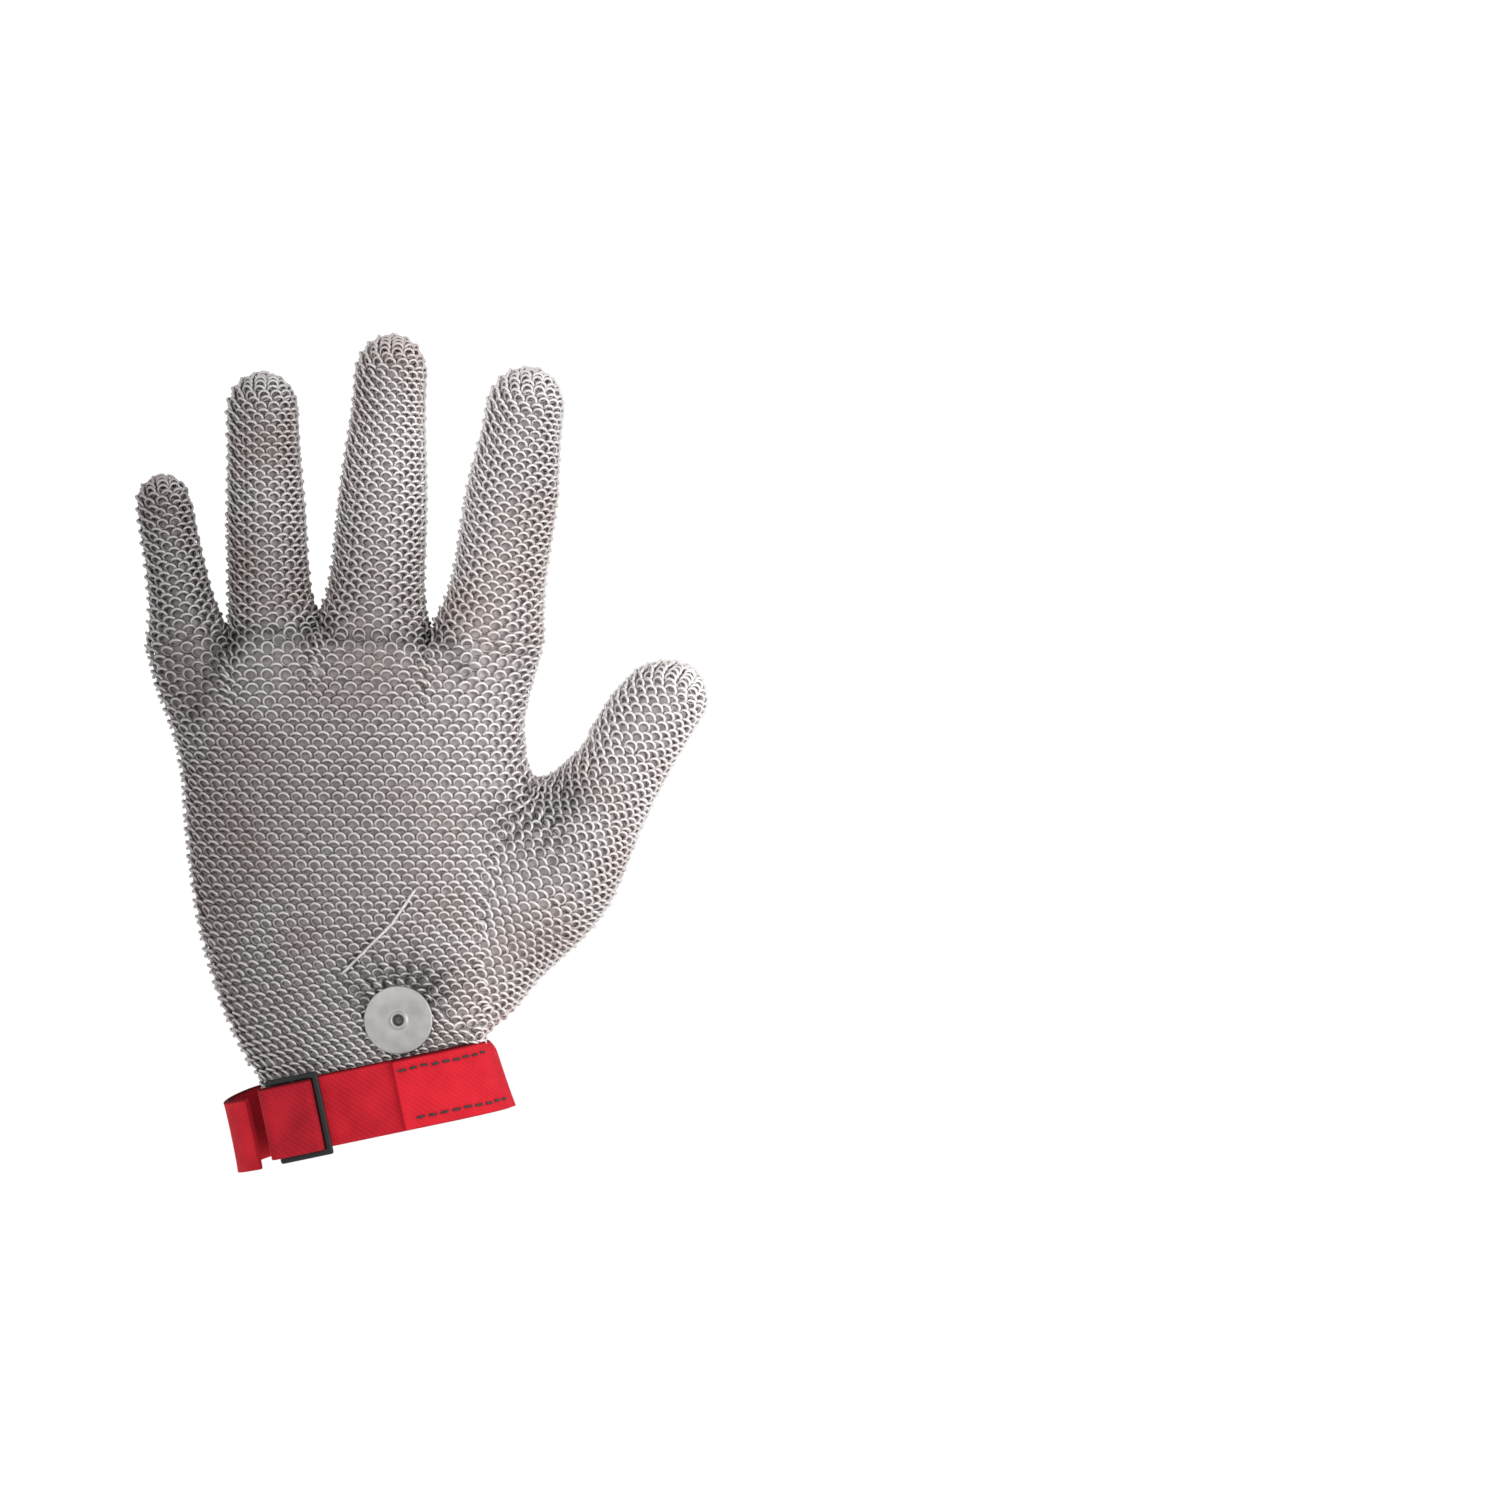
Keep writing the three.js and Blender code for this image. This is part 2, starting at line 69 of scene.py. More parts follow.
def addNode(tree, kind, settings=None, inputs=None, links=None):
    # settings are the node's own, inputs are socket values, links are (output socket) by input name
    node = tree.nodes.new(kind)
    for key, value in (settings or {}).items():
        setattr(node, key, value)
    for key, value in (inputs or {}).items():
        node.inputs[key].default_value = value
    for key, socket in (links or {}).items():
        tree.links.new(socket, node.inputs[key])
    return node


def startMaterial(name, inputs):
    material = bpy.data.materials.new(name)
    material.use_nodes = True
    tree = material.node_tree
    shader = tree.nodes["Principled BSDF"]
    for key, value in inputs.items():
        shader.inputs[key].default_value = value
    return material, tree, shader


def linkShader(tree, shader, links):
    for key, socket in links.items():
        tree.links.new(socket, shader.inputs[key])


def setStops(ramp, stops):
    # stops are (position, colour)
    while len(ramp.color_ramp.elements) < len(stops):
        ramp.color_ramp.elements.new(0.5)
    for element, (position, colour) in zip(ramp.color_ramp.elements, stops):
        element.position = position
        element.color = colour
    return ramp


def makeObject(name, points, faces, material, smooth=True, cells=None):
    # points in millimetres; cells is one (u, v) for each face corner
    mesh = bpy.data.meshes.new(name)
    faces = np.asarray(faces)
    sides = faces.shape[1]
    mesh.vertices.add(len(points))
    mesh.vertices.foreach_set("co", (np.asarray(points, float) * mm).astype(np.float32).ravel())
    mesh.loops.add(faces.size)
    mesh.loops.foreach_set("vertex_index", faces.astype(np.int32).ravel())
    mesh.polygons.add(len(faces))
    mesh.polygons.foreach_set("loop_start", np.arange(0, faces.size, sides, dtype=np.int32))
    mesh.polygons.foreach_set("use_smooth", np.full(len(faces), smooth))
    mesh.update(calc_edges=True)
    if cells is not None:
        layer = mesh.uv_layers.new(name="OFBake")
        layer.data.foreach_set("uv", np.asarray(cells, np.float32).ravel())
    mesh.validate()
    made = bpy.data.objects.new(name, mesh)
    bpy.context.scene.collection.objects.link(made)
    made.data.materials.append(material)
    return made


# The mesh: separate rings of round steel wire, laid like four-in-one mail but not linked

ringMesh = {
    "pitch": 4.05,          # across a row
    "rowStep": 1.93,        # from row to row in the palm
    "fingerRowStep": 1.62,  # and in the fingers and thumb, where the mesh is bunched up lengthwise
    "ringRadius": 1.62,     # to the middle of the wire
    "wire": 0.88,           # wire thickness
    "tilts": (28, 50),      # degrees that the rings lean in one row and in the next
    "ringSides": 12,
    "wireSides": 6,
    "jitter": 0.06,         # how far a ring lies off its place
    "leanJitter": 4,        # degrees
    "shadeDepth": 1.0,      # the sheet of painted shade lies this far under the middle of the mesh
    "seed": 7,
    "mostRings": 1300,      # in one piece
}

hand = {
    # height, little-finger side, thumb side, half depth
    "sections": [
        (-14, -27.2, 30.6, 14.7), (7, -30.4, 32, 15.2), (24, -38.7, 34.2, 15.4), (46, -46.0, 40.5, 15.2),
        (73, -50.5, 45.5, 15), (99, -52.9, 44.0, 14.6), (113, -56.1, 43.4, 14), (126, -59.9, 45.2, 13),
        (140, -62.6, 49, 11.6),
    ],
    "power": 2.5,           # 2 is an ellipse, more is boxier
    "columns": 28,          # rings across one side of the palm
    "lowestRow": -6,
    "strapTilt": 11.76,     # degrees that the lowest rows rise towards the thumb
    "tiltFades": (12, 72),  # heights between which the rows turn level
}

fingers = {
    # columns: rings across one side; seamRow: the palm's row that its own rings start from
    # share: its part of the palm's width; shift: how far its middle line stands off its knuckle
    # radii: at distances from the root; zones: how far the bends reach before and after each knuckle
    # gaps: lowest point of the gap on each side and how far that is from the finger's middle line
    "little": {
        "columns": 6, "seamRow": 72, "share": (0.0, 0.195), "shift": -0.8,
        "radii": [(0, 9.1), (14, 7.7), (36, 6.7)],
        "gaps": ((134.6, 11.0), (134.6, 10.9)), "zones": (-4, 8.5, 7, 6.5),
    },
    "ring": {
        "columns": 8, "seamRow": 73, "share": (0.195, 0.43), "shift": -0.3,
        "radii": [(0, 10.6), (27, 10.3), (56, 9.0)],
        "gaps": ((134.6, 11.7), (140.6, 13.6)), "zones": (-5, 13, 10, 9),
    },
    "middle": {
        "columns": 9, "seamRow": 72, "share": (0.43, 0.70), "shift": 0,
        "radii": [(0, 12.6), (31, 11.6), (66, 9.0)],
        "gaps": ((140.6, 15.7), (136.9, 15.8)), "zones": (-5, 14, 11, 10),
    },
    "index": {
        "columns": 9, "seamRow": 71, "share": (0.70, 1.0), "shift": 0.6,
        "radii": [(0, 13.1), (16, 12.2), (37, 12.1), (59, 10.0)],
        "gaps": ((136.9, 15.8), (136.9, 14.2)), "zones": (-5, 14, 11, 10),
    },
}

thumb = {
    # rings round it, up to each distance from its root: rings are dropped in a few rows as it narrows
    "counts": [(-45, 23), (-24, 27), (-8, 28), (2, 25), (11, 21), (22, 18), (60, 16)],
    "radii": [
        (-69, 10.9), (-59.5, 11.7), (-37.7, 15.7), (-31, 17.5),
        (-16.7, 18.4), (-1.4, 15.1), (17, 11.6), (41, 9.4),
    ],
    "bulge": [(10, 0), (22, 1.6), (33, 3.1), (42, 2.1), (50, 0)],   # fuller on the side of the fingers
    "shift": 0,
    "zones": (-7, 16.5, 8),
    "rowGuess": 1.8,        # about how far apart its rows are
    "rowsCloseUp": (-30, 0),    # distances between which they get as close as the fingers'
    "webRound": 13,         # how softly the thumb runs into the palm
}

depthShare = 0.84           # depth of a finger over its width
tipShare = 1.12             # length of a round tip over its radius
strapSlope = math.tan(math.radians(hand["strapTilt"]))
random = np.random.default_rng(ringMesh["seed"])


def digitFrame(name, tip):
    # root, direction along the digit and direction across it, from its root hinge; length from its tip node
    joint = joints[f"{name}_root_knuckle"]
    axis = np.array(joint["axis"])
    root = np.array(joint["pos_m"]) / mm
    along = np.array([axis[2], 0, -axis[0]])
    across = np.array([along[2], 0, -along[0]])
    corners = np.array([v.co[:] for v in frame["nodes"][tip].data.vertices]) / mm
    return root, along, across, ((corners - root) @ along).max()


def knuckle(name, root, along):
    return (np.array(joints[name]["pos_m"]) / mm - root) @ along


def smoothLine(at, rows, column):
    # a smooth curve through the rows' values, with the slope at each one taken from its neighbours
    x = np.array([row[0] for row in rows], float)
    y = np.array([row[column] for row in rows], float)
    slopes = np.gradient(y, x)
    at = np.clip(at, x[0], x[-1])
    low = np.clip(np.searchsorted(x, at, side="right") - 1, 0, len(x) - 2)
    step = x[low + 1] - x[low]
    t = (at - x[low]) / step
    first = (1 + 2 * t) * (1 - t) ** 2 * y[low] + t * (1 - t) ** 2 * step * slopes[low]
    second = t * t * (3 - 2 * t) * y[low + 1] + t * t * (t - 1) * step * slopes[low + 1]
    return first + second


def fade(value, low, high):
    t = np.clip((value - low) / (high - low), 0, 1)
    return t * t * (3 - 2 * t)


def sectionOutline(height, around):
    # a point of the palm's outline; around runs 0 to 1 from the little side over one face to the thumb side
    littleSide, thumbSide, depth = (smoothLine(height, hand["sections"], i) for i in (1, 2, 3))
    steps = np.linspace(0, np.pi, 181)
    power = 2 / hand["power"]
    outX = -np.sign(np.cos(steps)) * np.abs(np.cos(steps)) ** power
    outY = np.abs(np.sin(steps)) ** power
    # shares of the way round on a typical section, so that columns are evenly spaced
    lengths = np.hypot(np.diff(outX) * 49, np.diff(outY) * 14.5)
    walked = np.concatenate([[0], np.cumsum(lengths)]) / lengths.sum()
    x = np.interp(around, walked, outX)
    y = np.interp(around, walked, outY)
    return (littleSide + thumbSide) / 2 + (thumbSide - littleSide) / 2 * x, depth * y


def digitProfile(radii, length):
    # distance along the surface, distance along the axis and radius, from the lowest station to the tip
    tipRadius = radii[-1][1]
    tipStart = length - tipShare * tipRadius
    axis = np.linspace(radii[0][0], tipStart, 200)
    stations = [*radii, (tipStart, tipRadius)] if radii[-1][0] < tipStart - 1 else radii
    radius = smoothLine(axis, stations, 1)
    turn = np.linspace(0, np.pi / 2, 60)[1:]
    axis = np.concatenate([axis, tipStart + (length - tipStart) * np.sin(turn)])
    radius = np.concatenate([radius, radius[-1] * np.cos(turn) ** 0.9])
    walked = np.concatenate([[0], np.cumsum(np.hypot(np.diff(axis), np.diff(radius)))])
    walked -= np.interp(0, axis, walked)
    return walked, axis, radius


def measureDigit(name, spec):
    root, along, across, length = digitFrame(name, f"{name}_distal_mesh")
    length -= ringMesh["wire"]
    return {**spec, "root": root + across * spec["shift"], "along": along, "across": across,
            "length": length, "profile": digitProfile(spec["radii"], length)}


digits = {name: measureDigit(name, spec) for name, spec in {**fingers, "thumb": thumb}.items()}


def thumbPoint(around, walked):
    # around runs 0 to 1 from the edge next to the palm: 0 to 0.5 is the back, 0.5 to 1 the palm side
    d = digits["thumb"]
    axis = np.interp(walked, d["profile"][0], d["profile"][1])
    radius = np.interp(walked, d["profile"][0], d["profile"][2])
    turn = 2 * np.pi * around
    side = -np.cos(turn) * radius
    side -= np.interp(axis, *zip(*d["bulge"])) * np.maximum(np.cos(turn), 0)
    depth = -np.sin(turn) * radius * depthShare
    point = d["root"] + axis[:, None] * d["along"] + side[:, None] * d["across"]
    return point + depth[:, None] * np.array([0, 1, 0])


def palmField(points):
    # roughly the distance outside the palm
    littleSide, thumbSide, depth = (smoothLine(points[:, 2], hand["sections"], i) for i in (1, 2, 3))
    halfWidth = (thumbSide - littleSide) / 2
    x = np.abs(points[:, 0] - (thumbSide + littleSide) / 2) / halfWidth
    y = np.abs(points[:, 1]) / depth
    power = hand["power"]
    q = (x ** power + y ** power) ** (1 / power) + 1e-9
    slope = np.hypot((x / q) ** (power - 1) / halfWidth, (y / q) ** (power - 1) / depth) + 1e-9
    return (q - 1) / slope


def thumbField(points):
    d = digits["thumb"]
    offset = points - d["root"]
    axis = offset @ d["along"]
    radius = np.maximum(np.interp(axis, d["profile"][1], d["profile"][2]), 0.5)
    x = (offset @ d["across"]) / radius
    y = points[:, 1] / (radius * depthShare)
    q = np.hypot(x, y) + 1e-9
    slope = np.hypot(x / q / radius, y / q / (radius * depthShare)) + 1e-9
    past = np.maximum(d["profile"][1][0] - axis, 0)
    return (q - 1) / slope + past


def joinedField(points):
    palm, digit, soft = palmField(points), thumbField(points), thumb["webRound"]
    share = np.clip(0.5 + 0.5 * (digit - palm) / soft, 0, 1)
    return digit * (1 - share) + palm * share - soft * share * (1 - share)


def settle(points):
    # moves points out onto the surface that joins palm and thumb softly
    points = points.copy()
    for _ in range(5):
        value = joinedField(points)
        slope = np.stack([(joinedField(points + step) - value) / 0.05 for step in np.eye(3) * 0.05], 1)
        points -= (value / np.maximum((slope ** 2).sum(1), 0.2))[:, None] * slope
    return points


def rawPalm(side, around, height):
    # the palm's outline before the thumb and fingers are joined to it: side is -1 on the back of the hand
    # and 1 on the palm, and around runs 0 to 1 from the little side to the thumb side
    x, y = sectionOutline(height, around)
    level = height + strapSlope * x * (1 - fade(height, *hand["tiltFades"]))
    x, y = sectionOutline(level, around)
    return np.stack([x, side * y, level], 1)


def palmPoint(side, around, height):
    flat = rawPalm(side, around, height)
    near = thumbField(flat) < thumb["webRound"] * 1.5
    if near.any():
        flat[near] = settle(flat[near])
    made = flat.copy()
    for name in fingers:
        d = digits[name]
        low, high = d["share"]
        mine = (around >= low) & ((around < high) | (high == 1) & (around <= high))
        if not mine.any():
            continue
        local = (around[mine] - low) / (high - low)
        walked = height[mine] - d["root"][2]
        axis = np.interp(walked, d["profile"][0], d["profile"][1])
        radius = np.interp(walked, d["profile"][0], d["profile"][2])
        axis = np.where(walked < 0, walked, axis)
        gapHeight = d["gaps"][0][0] + (d["gaps"][1][0] - d["gaps"][0][0]) * local
        past = np.maximum(height[mine] - gapHeight, 0)
        turn = np.pi * local
        flare = np.where(local < 0.5, d["gaps"][0][1], d["gaps"][1][1]) - radius
        halfWidth = radius + np.clip(flare, 0, None) * np.exp(-past / 4.5)
        offsetX = -np.cos(turn) * halfWidth
        offsetY = side * np.sin(turn) * radius * depthShare
        tube = d["root"] + axis[:, None] * d["along"] + offsetX[:, None] * d["across"]
        tube[:, 1] += offsetY
        wide = fade(height[mine], gapHeight - 32, gapHeight + 1)[:, None]
        deep = fade(height[mine], gapHeight - 10, gapHeight + 1)
        mixed = flat[mine] * (1 - wide) + tube * wide
        mixed[:, 1] = flat[mine][:, 1] * (1 - deep) + tube[:, 1] * deep
        made[mine] = mixed
    return made


# Folds: the mesh hangs in gathers round the stud and in ripples from the fork of the thumb

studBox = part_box("stud_cap")
studCentre = np.array([(studBox[0].x + studBox[1].x) / 2, (studBox[0].z + studBox[1].z) / 2]) / mm
studRadius = (studBox[1].x - studBox[0].x) / 2 / mm

folds = {
    "gatherCount": 22, "gatherHeight": 0.3, "gatherReach": 9, "studPress": 0.9, "studHole": 3.4,
    "rippleFork": (57, 95), "rippleCount": 32, "rippleHeight": 0.3, "rippleReach": (7, 36),
    # short creases: both ends, width and height
    "creases": [((28.3, 134), (27, 120), 1.2, 0.6), ((31.2, 131), (30.6, 121), 1.1, 0.5)],
    # long soft waves: across, upward, phase and height
    "waves": [(0.083, 0.031, 0.4, 0.35), (-0.052, 0.094, 2.0, 0.3), (0.12, -0.11, 1.1, 0.22)],
}


def polar(points, centre):
    dx, dz = points[:, 0] - centre[0], points[:, 2] - centre[1]
    return np.hypot(dx, dz), np.arctan2(dz, dx)


def gathers(points):
    # strength of the pleats above the stud, and their wave
    reach, turn = polar(points, studCentre)
    strength = fade(np.sin(turn), 0, 0.6) * fade(reach, studRadius * 0.8, studRadius)
    strength *= np.exp(-((reach - studRadius) / folds["gatherReach"]) ** 2)
    return strength, np.sin(folds["gatherCount"] * turn)


def ripples(points):
    # strength of the ripples that fan down from the fork of the thumb, and their wave
    reach, turn = polar(points, folds["rippleFork"])
    low, high = folds["rippleReach"]
    strength = fade(-np.sin(turn), 0.1, 0.5) * fade(-np.cos(turn), -0.25, 0.2)
    strength *= fade(reach, low, low + 4) * (1 - fade(reach, high * 0.5, high))
    return strength, np.sin(folds["rippleCount"] * turn + 0.12 * reach)


def creaseAt(points, start, end, width):
    # 1 on the line between two ends, fading out to both sides and past the ends
    start, end = np.array(start), np.array(end)
    length = np.hypot(*(end - start))
    unit = (end - start) / length
    offset = points[:, [0, 2]] - start
    along = offset @ unit
    away = offset @ np.array([-unit[1], unit[0]])
    return np.exp(-(away / width) ** 2) * fade(along, -2, 2) * (1 - fade(along, length - 2, length + 2))


def foldHeight(points):
    # how far the back of the hand stands out or in, in millimetres
    height = np.zeros(len(points))
    for waveX, waveZ, phase, size in folds["waves"]:
        height += size * np.sin(waveX * points[:, 0] + waveZ * points[:, 2] + phase)
    for shape, size in ((gathers, folds["gatherHeight"]), (ripples, folds["rippleHeight"])):
        strength, wave = shape(points)
        height += size * strength * wave
    reach, _ = polar(points, studCentre)
    height -= folds["studPress"] * np.exp(-(reach / (studRadius * 1.25)) ** 4)
    for start, end, width, size in folds["creases"]:
        height += size * creaseAt(points, start, end, width)
    return height


# Painted light and shade: the wire's colour is painted lighter towards the thumb side and darker as painted
# shade in seams, folds and a few spots, with a warm tint in places

paintedLightAndTint = {
    # painted light from side to side: lighter towards the thumb side, where the key light falls
    "across": [
        (-66, 0.66), (-46, 0.78), (-28, 0.9), (0, 1.0), (14, 1.16), (32, 1.37), (60, 1.32), (92, 1.49),
    ],
    # painted shade along the seams at the roots of the fingers, as a line of (x, z)
    "seam": [
        (-50, 110), (-46, 120), (-40.6, 134), (-31, 136), (-20, 133), (-14, 138.5), (-7, 133), (4, 134.5),
        (14, 132.5), (18.5, 136), (25.5, 130), (28, 123),
    ],
    "seamWidth": 2.4, "seamShade": 0.3,
    # spots of painted shade, and of painted light where the value is below nought: centre, reach and how much
    # is lost, or gained below nought
    "spots": [
        ((57, 89), 6.5, 0.4), ((-40, 131), 5, 0.3), ((-14, 136), 5, 0.25), ((19, 133), 6, 0.25),
        ((16, 36), 6, 0.25), ((8, 186), 24, -0.22), ((-28, 178), 20, -0.12), ((47, 182), 20, 0.1),
        ((58, 48), 15, 0.08), ((29, 38), 9, 0.08),
    ],
    # painted shade in the folds: how much the valleys of the gathers and of the ripples are darkened
    "gatherShade": 0.65, "rippleShade": 0.5,
    # warm-coloured spots: centre and reach
    "warmSpots": [((30, 34), 12), ((56, 52), 9)],
    "warm": (1.02, 0.98, 0.965),
}


def paintedLightAndTintAt(points):
    # the wire's colour is multiplied by this: painted light and shade, and the warm tint
    flat = points[:, [0, 2]]
    bright = np.interp(flat[:, 0], *zip(*paintedLightAndTint["across"]))
    seam = np.zeros(len(points))
    for start, end in zip(paintedLightAndTint["seam"], paintedLightAndTint["seam"][1:]):
        seam = np.maximum(seam, creaseAt(points, start, end, paintedLightAndTint["seamWidth"]))
    bright *= 1 - paintedLightAndTint["seamShade"] * seam
    for centre, reach, lost in paintedLightAndTint["spots"]:
        bright *= 1 - lost * np.exp(-(np.hypot(*(flat - centre).T) / reach) ** 2)
    back = points[:, 1] < 0
    # painted shade in the valleys of the gathers and ripples on the back of the hand
    for shape, lost in ((gathers, paintedLightAndTint["gatherShade"]), (ripples, paintedLightAndTint["rippleShade"])):
        strength, wave = shape(points)
        bright *= 1 - back * lost * strength * (0.5 - 0.5 * wave)
    warmth = np.zeros(len(points))
    for centre, reach in paintedLightAndTint["warmSpots"]:
        warmth += np.exp(-(np.hypot(*(flat - centre).T) / reach) ** 2)
    tint = 1 + np.clip(warmth, 0, 1)[:, None] * (np.array(paintedLightAndTint["warm"]) - 1)
    return bright[:, None] * tint


def surfaceFrame(place, across, walked, stepAcross, stepAlong):
    # points, unit directions across the row, along the columns and out of the mesh, and both spacings
    def at(dAcross, dAlong):
        return place(across + dAcross, walked + dAlong)
    point = at(0, 0)
    right = at(stepAcross, 0) - at(-stepAcross, 0)
    up = at(0, stepAlong) - at(0, -stepAlong)
    wide = np.linalg.norm(right, axis=1)
    tall = np.linalg.norm(up, axis=1)
    out = np.cross(right, up)
    out /= np.maximum(np.linalg.norm(out, axis=1), 1e-9)[:, None]
    right /= np.maximum(wide, 1e-9)[:, None]
    up = np.cross(out, right)
    return point, right, up, out, wide / (2 * stepAcross), tall / (2 * stepAlong)


def leans(odd):
    return np.where(odd, *ringMesh["tilts"]) + random.normal(0, ringMesh["leanJitter"], len(odd))


def layRings(name, point, right, up, out, spacing, lean, material):
    # one mesh of separate rings; spacing is the distance between neighbours in a row, lean is in degrees
    count = len(point)
    squeeze = np.clip(spacing / ringMesh["pitch"], 0.6, 1.08)
    size = np.clip(squeeze, 0.9, 1.05)
    radius = ringMesh["ringRadius"] * size
    wire = ringMesh["wire"] / 2
    yaw = np.arccos(np.clip(spacing / (2 * radius + ringMesh["wire"]), 0.6, 1)) * 0.8
    lean = np.radians(lean)
    yaw += np.radians(random.normal(0, ringMesh["leanJitter"], count))
    point = point + random.normal(0, ringMesh["jitter"], (count, 3))
    # the ring's two directions and the one it faces
    first = right * np.cos(yaw)[:, None] + out * np.sin(yaw)[:, None]
    second = up * np.cos(lean)[:, None] + np.cross(first, up) * np.sin(lean)[:, None]
    facing = np.cross(first, second)
    ringSides, wireSides = ringMesh["ringSides"], ringMesh["wireSides"]
    roundRing = 2 * np.pi * np.arange(ringSides) / ringSides
    roundWire = 2 * np.pi * np.arange(wireSides) / wireSides
    spoke = np.cos(roundRing)[None, :, None] * first[:, None]
    spoke = spoke + np.sin(roundRing)[None, :, None] * second[:, None]
    reach = radius[:, None, None] + wire * np.cos(roundWire)[None, None, :]
    points = point[:, None, None] + reach[..., None] * spoke[:, :, None]
    points += (wire * np.sin(roundWire))[None, None, :, None] * facing[:, None, None]
    i, j = np.meshgrid(np.arange(ringSides), np.arange(wireSides), indexing="ij")
    nextI, nextJ = (i + 1) % ringSides * wireSides, (j + 1) % wireSides
    quads = np.stack([i * wireSides + j, nextI + j, nextI + nextJ, i * wireSides + nextJ], -1)
    faces = quads.reshape(-1, 4)[None] + (np.arange(count) * ringSides * wireSides)[:, None, None]
    # each ring is unrolled into its own square of the bake map
    grid = math.ceil(math.sqrt(count))
    inset = 0.04
    cornersU = np.stack([i, i + 1, i + 1, i], -1).reshape(-1, 4) / ringSides * (1 - 2 * inset) + inset
    cornersV = np.stack([j, j, j + 1, j + 1], -1).reshape(-1, 4) / wireSides * (1 - 2 * inset) + inset
    cellU, cellV = [part[:, None, None] for part in (np.arange(count) % grid, np.arange(count) // grid)]
    cells = np.stack([(cellU + cornersU) / grid, (cellV + cornersV) / grid], -1)
    flat = points.reshape(-1, 3)
    made = makeObject(name, flat, faces.reshape(-1, 4), material, cells=cells.reshape(-1, 2))
    # how deep each point lies in the mesh, for the painted shade between the rings
    depth = ((points - point[:, None, None]) * out[:, None, None]).sum(-1)
    layer = made.data.attributes.new("meshDepth", "FLOAT", "POINT")
    layer.data.foreach_set("value", depth.astype(np.float32).ravel())
    paintLightAndTint(made, flat)
    return made


def paintLightAndTint(piece, points):
    # stores the painted light and shade, with the warm tint, on every point
    tint = np.concatenate([paintedLightAndTintAt(points), np.ones((len(points), 1))], 1)
    layer = piece.data.attributes.new("paintedLightAndTint", "FLOAT_COLOR", "POINT")
    layer.data.foreach_set("color", tint.astype(np.float32).ravel())


def ringSteel():
    # stainless wire, welded and tumbled: satin grey, painted lighter on the crowns and darker between the
    # rings as painted shade
    material, tree, shader = startMaterial("tumbledStainlessWire", {"Metallic": 1.0})
    where = addNode(tree, "ShaderNodeTexCoord").outputs["Object"]
    # the painted light and shade, with the warm tint, stored on the points
    paintedTone = addNode(tree, "ShaderNodeAttribute", {"attribute_name": "paintedLightAndTint"})
    depth = addNode(tree, "ShaderNodeAttribute", {"attribute_name": "meshDepth"})
    # deeper points are painted darker: painted shade between the rings, lighter on the crowns
    level = addNode(tree, "ShaderNodeMapRange", inputs={"From Min": -1.1, "From Max": 0.7},
                    links={"Value": depth.outputs["Fac"]})
    # patches are 25 mm across, spots 2.2 mm
    patches = addNode(tree, "ShaderNodeTexNoise", inputs={"Scale": 1 / 0.025, "Detail": 3.0},
                      links={"Vector": where})
    spots = addNode(tree, "ShaderNodeTexNoise", inputs={"Scale": 1 / 0.0022, "Detail": 2.0},
                    links={"Vector": where})
    both = addNode(tree, "ShaderNodeMath", {"operation": "MULTIPLY_ADD"}, {1: 0.35, 2: -0.17},
                   {0: spots.outputs["Fac"]})
    shade = addNode(tree, "ShaderNodeMath", {"operation": "ADD"},
                    links={0: level.outputs["Result"], 1: both.outputs["Value"]})
    ramp = setStops(addNode(tree, "ShaderNodeValToRGB", links={"Fac": shade.outputs["Value"]}), [
        (0.05, srgb("#9a9495")), (0.5, srgb("#b2adad")), (0.95, srgb("#c5c2c1")),
    ])
    amount = addNode(tree, "ShaderNodeMapRange", inputs={"From Min": 0.45, "From Max": 0.7},
                     links={"Value": patches.outputs["Fac"]})
    warm = addNode(tree, "ShaderNodeMix", {"data_type": "RGBA", "blend_type": "MULTIPLY"},
                   {mixB: srgb("#f2eae8")},
                   {"Factor": amount.outputs["Result"], mixA: ramp.outputs["Color"]})
    tinted = addNode(tree, "ShaderNodeMix", {"data_type": "RGBA", "blend_type": "MULTIPLY"}, {"Factor": 1.0},
                     {mixA: warm.outputs[mixResult], mixB: paintedTone.outputs["Color"]})
    rough = addNode(tree, "ShaderNodeMapRange", inputs={"To Min": 0.46, "To Max": 0.66},
                    links={"Value": spots.outputs["Fac"]})
    linkShader(tree, shader, {"Base Color": tinted.outputs[mixResult], "Roughness": rough.outputs["Result"]})
    return material


def paintedShadeMaterial():
    # painted shade: a sheet that stands for the shadowed far sides of the rings, seen between the near ones: a
    # dull, slightly warm grey
    material, tree, shader = startMaterial("paintedShadeUnderRings", {"Metallic": 0.6, "Roughness": 0.6})
    where = addNode(tree, "ShaderNodeTexCoord").outputs["Object"]
    cells = addNode(tree, "ShaderNodeTexVoronoi", inputs={"Scale": 1 / 0.0021}, links={"Vector": where})
    ramp = setStops(addNode(tree, "ShaderNodeValToRGB", links={"Fac": cells.outputs["Distance"]}), [
        (0.0, srgb("#827c7c")), (0.6, srgb("#a6a0a0")),
    ])
    # the painted light and shade, with the warm tint, stored on the points
    paintedTone = addNode(tree, "ShaderNodeAttribute", {"attribute_name": "paintedLightAndTint"})
    tinted = addNode(tree, "ShaderNodeMix", {"data_type": "RGBA", "blend_type": "MULTIPLY"}, {"Factor": 1.0},
                     {mixA: ramp.outputs["Color"], mixB: paintedTone.outputs["Color"]})
    linkShader(tree, shader, {"Base Color": tinted.outputs[mixResult]})
    return material


steelWire = ringSteel()
paintedShadeSteel = paintedShadeMaterial()
rowStep = ringMesh["rowStep"]
fingerRowStep = ringMesh["fingerRowStep"]
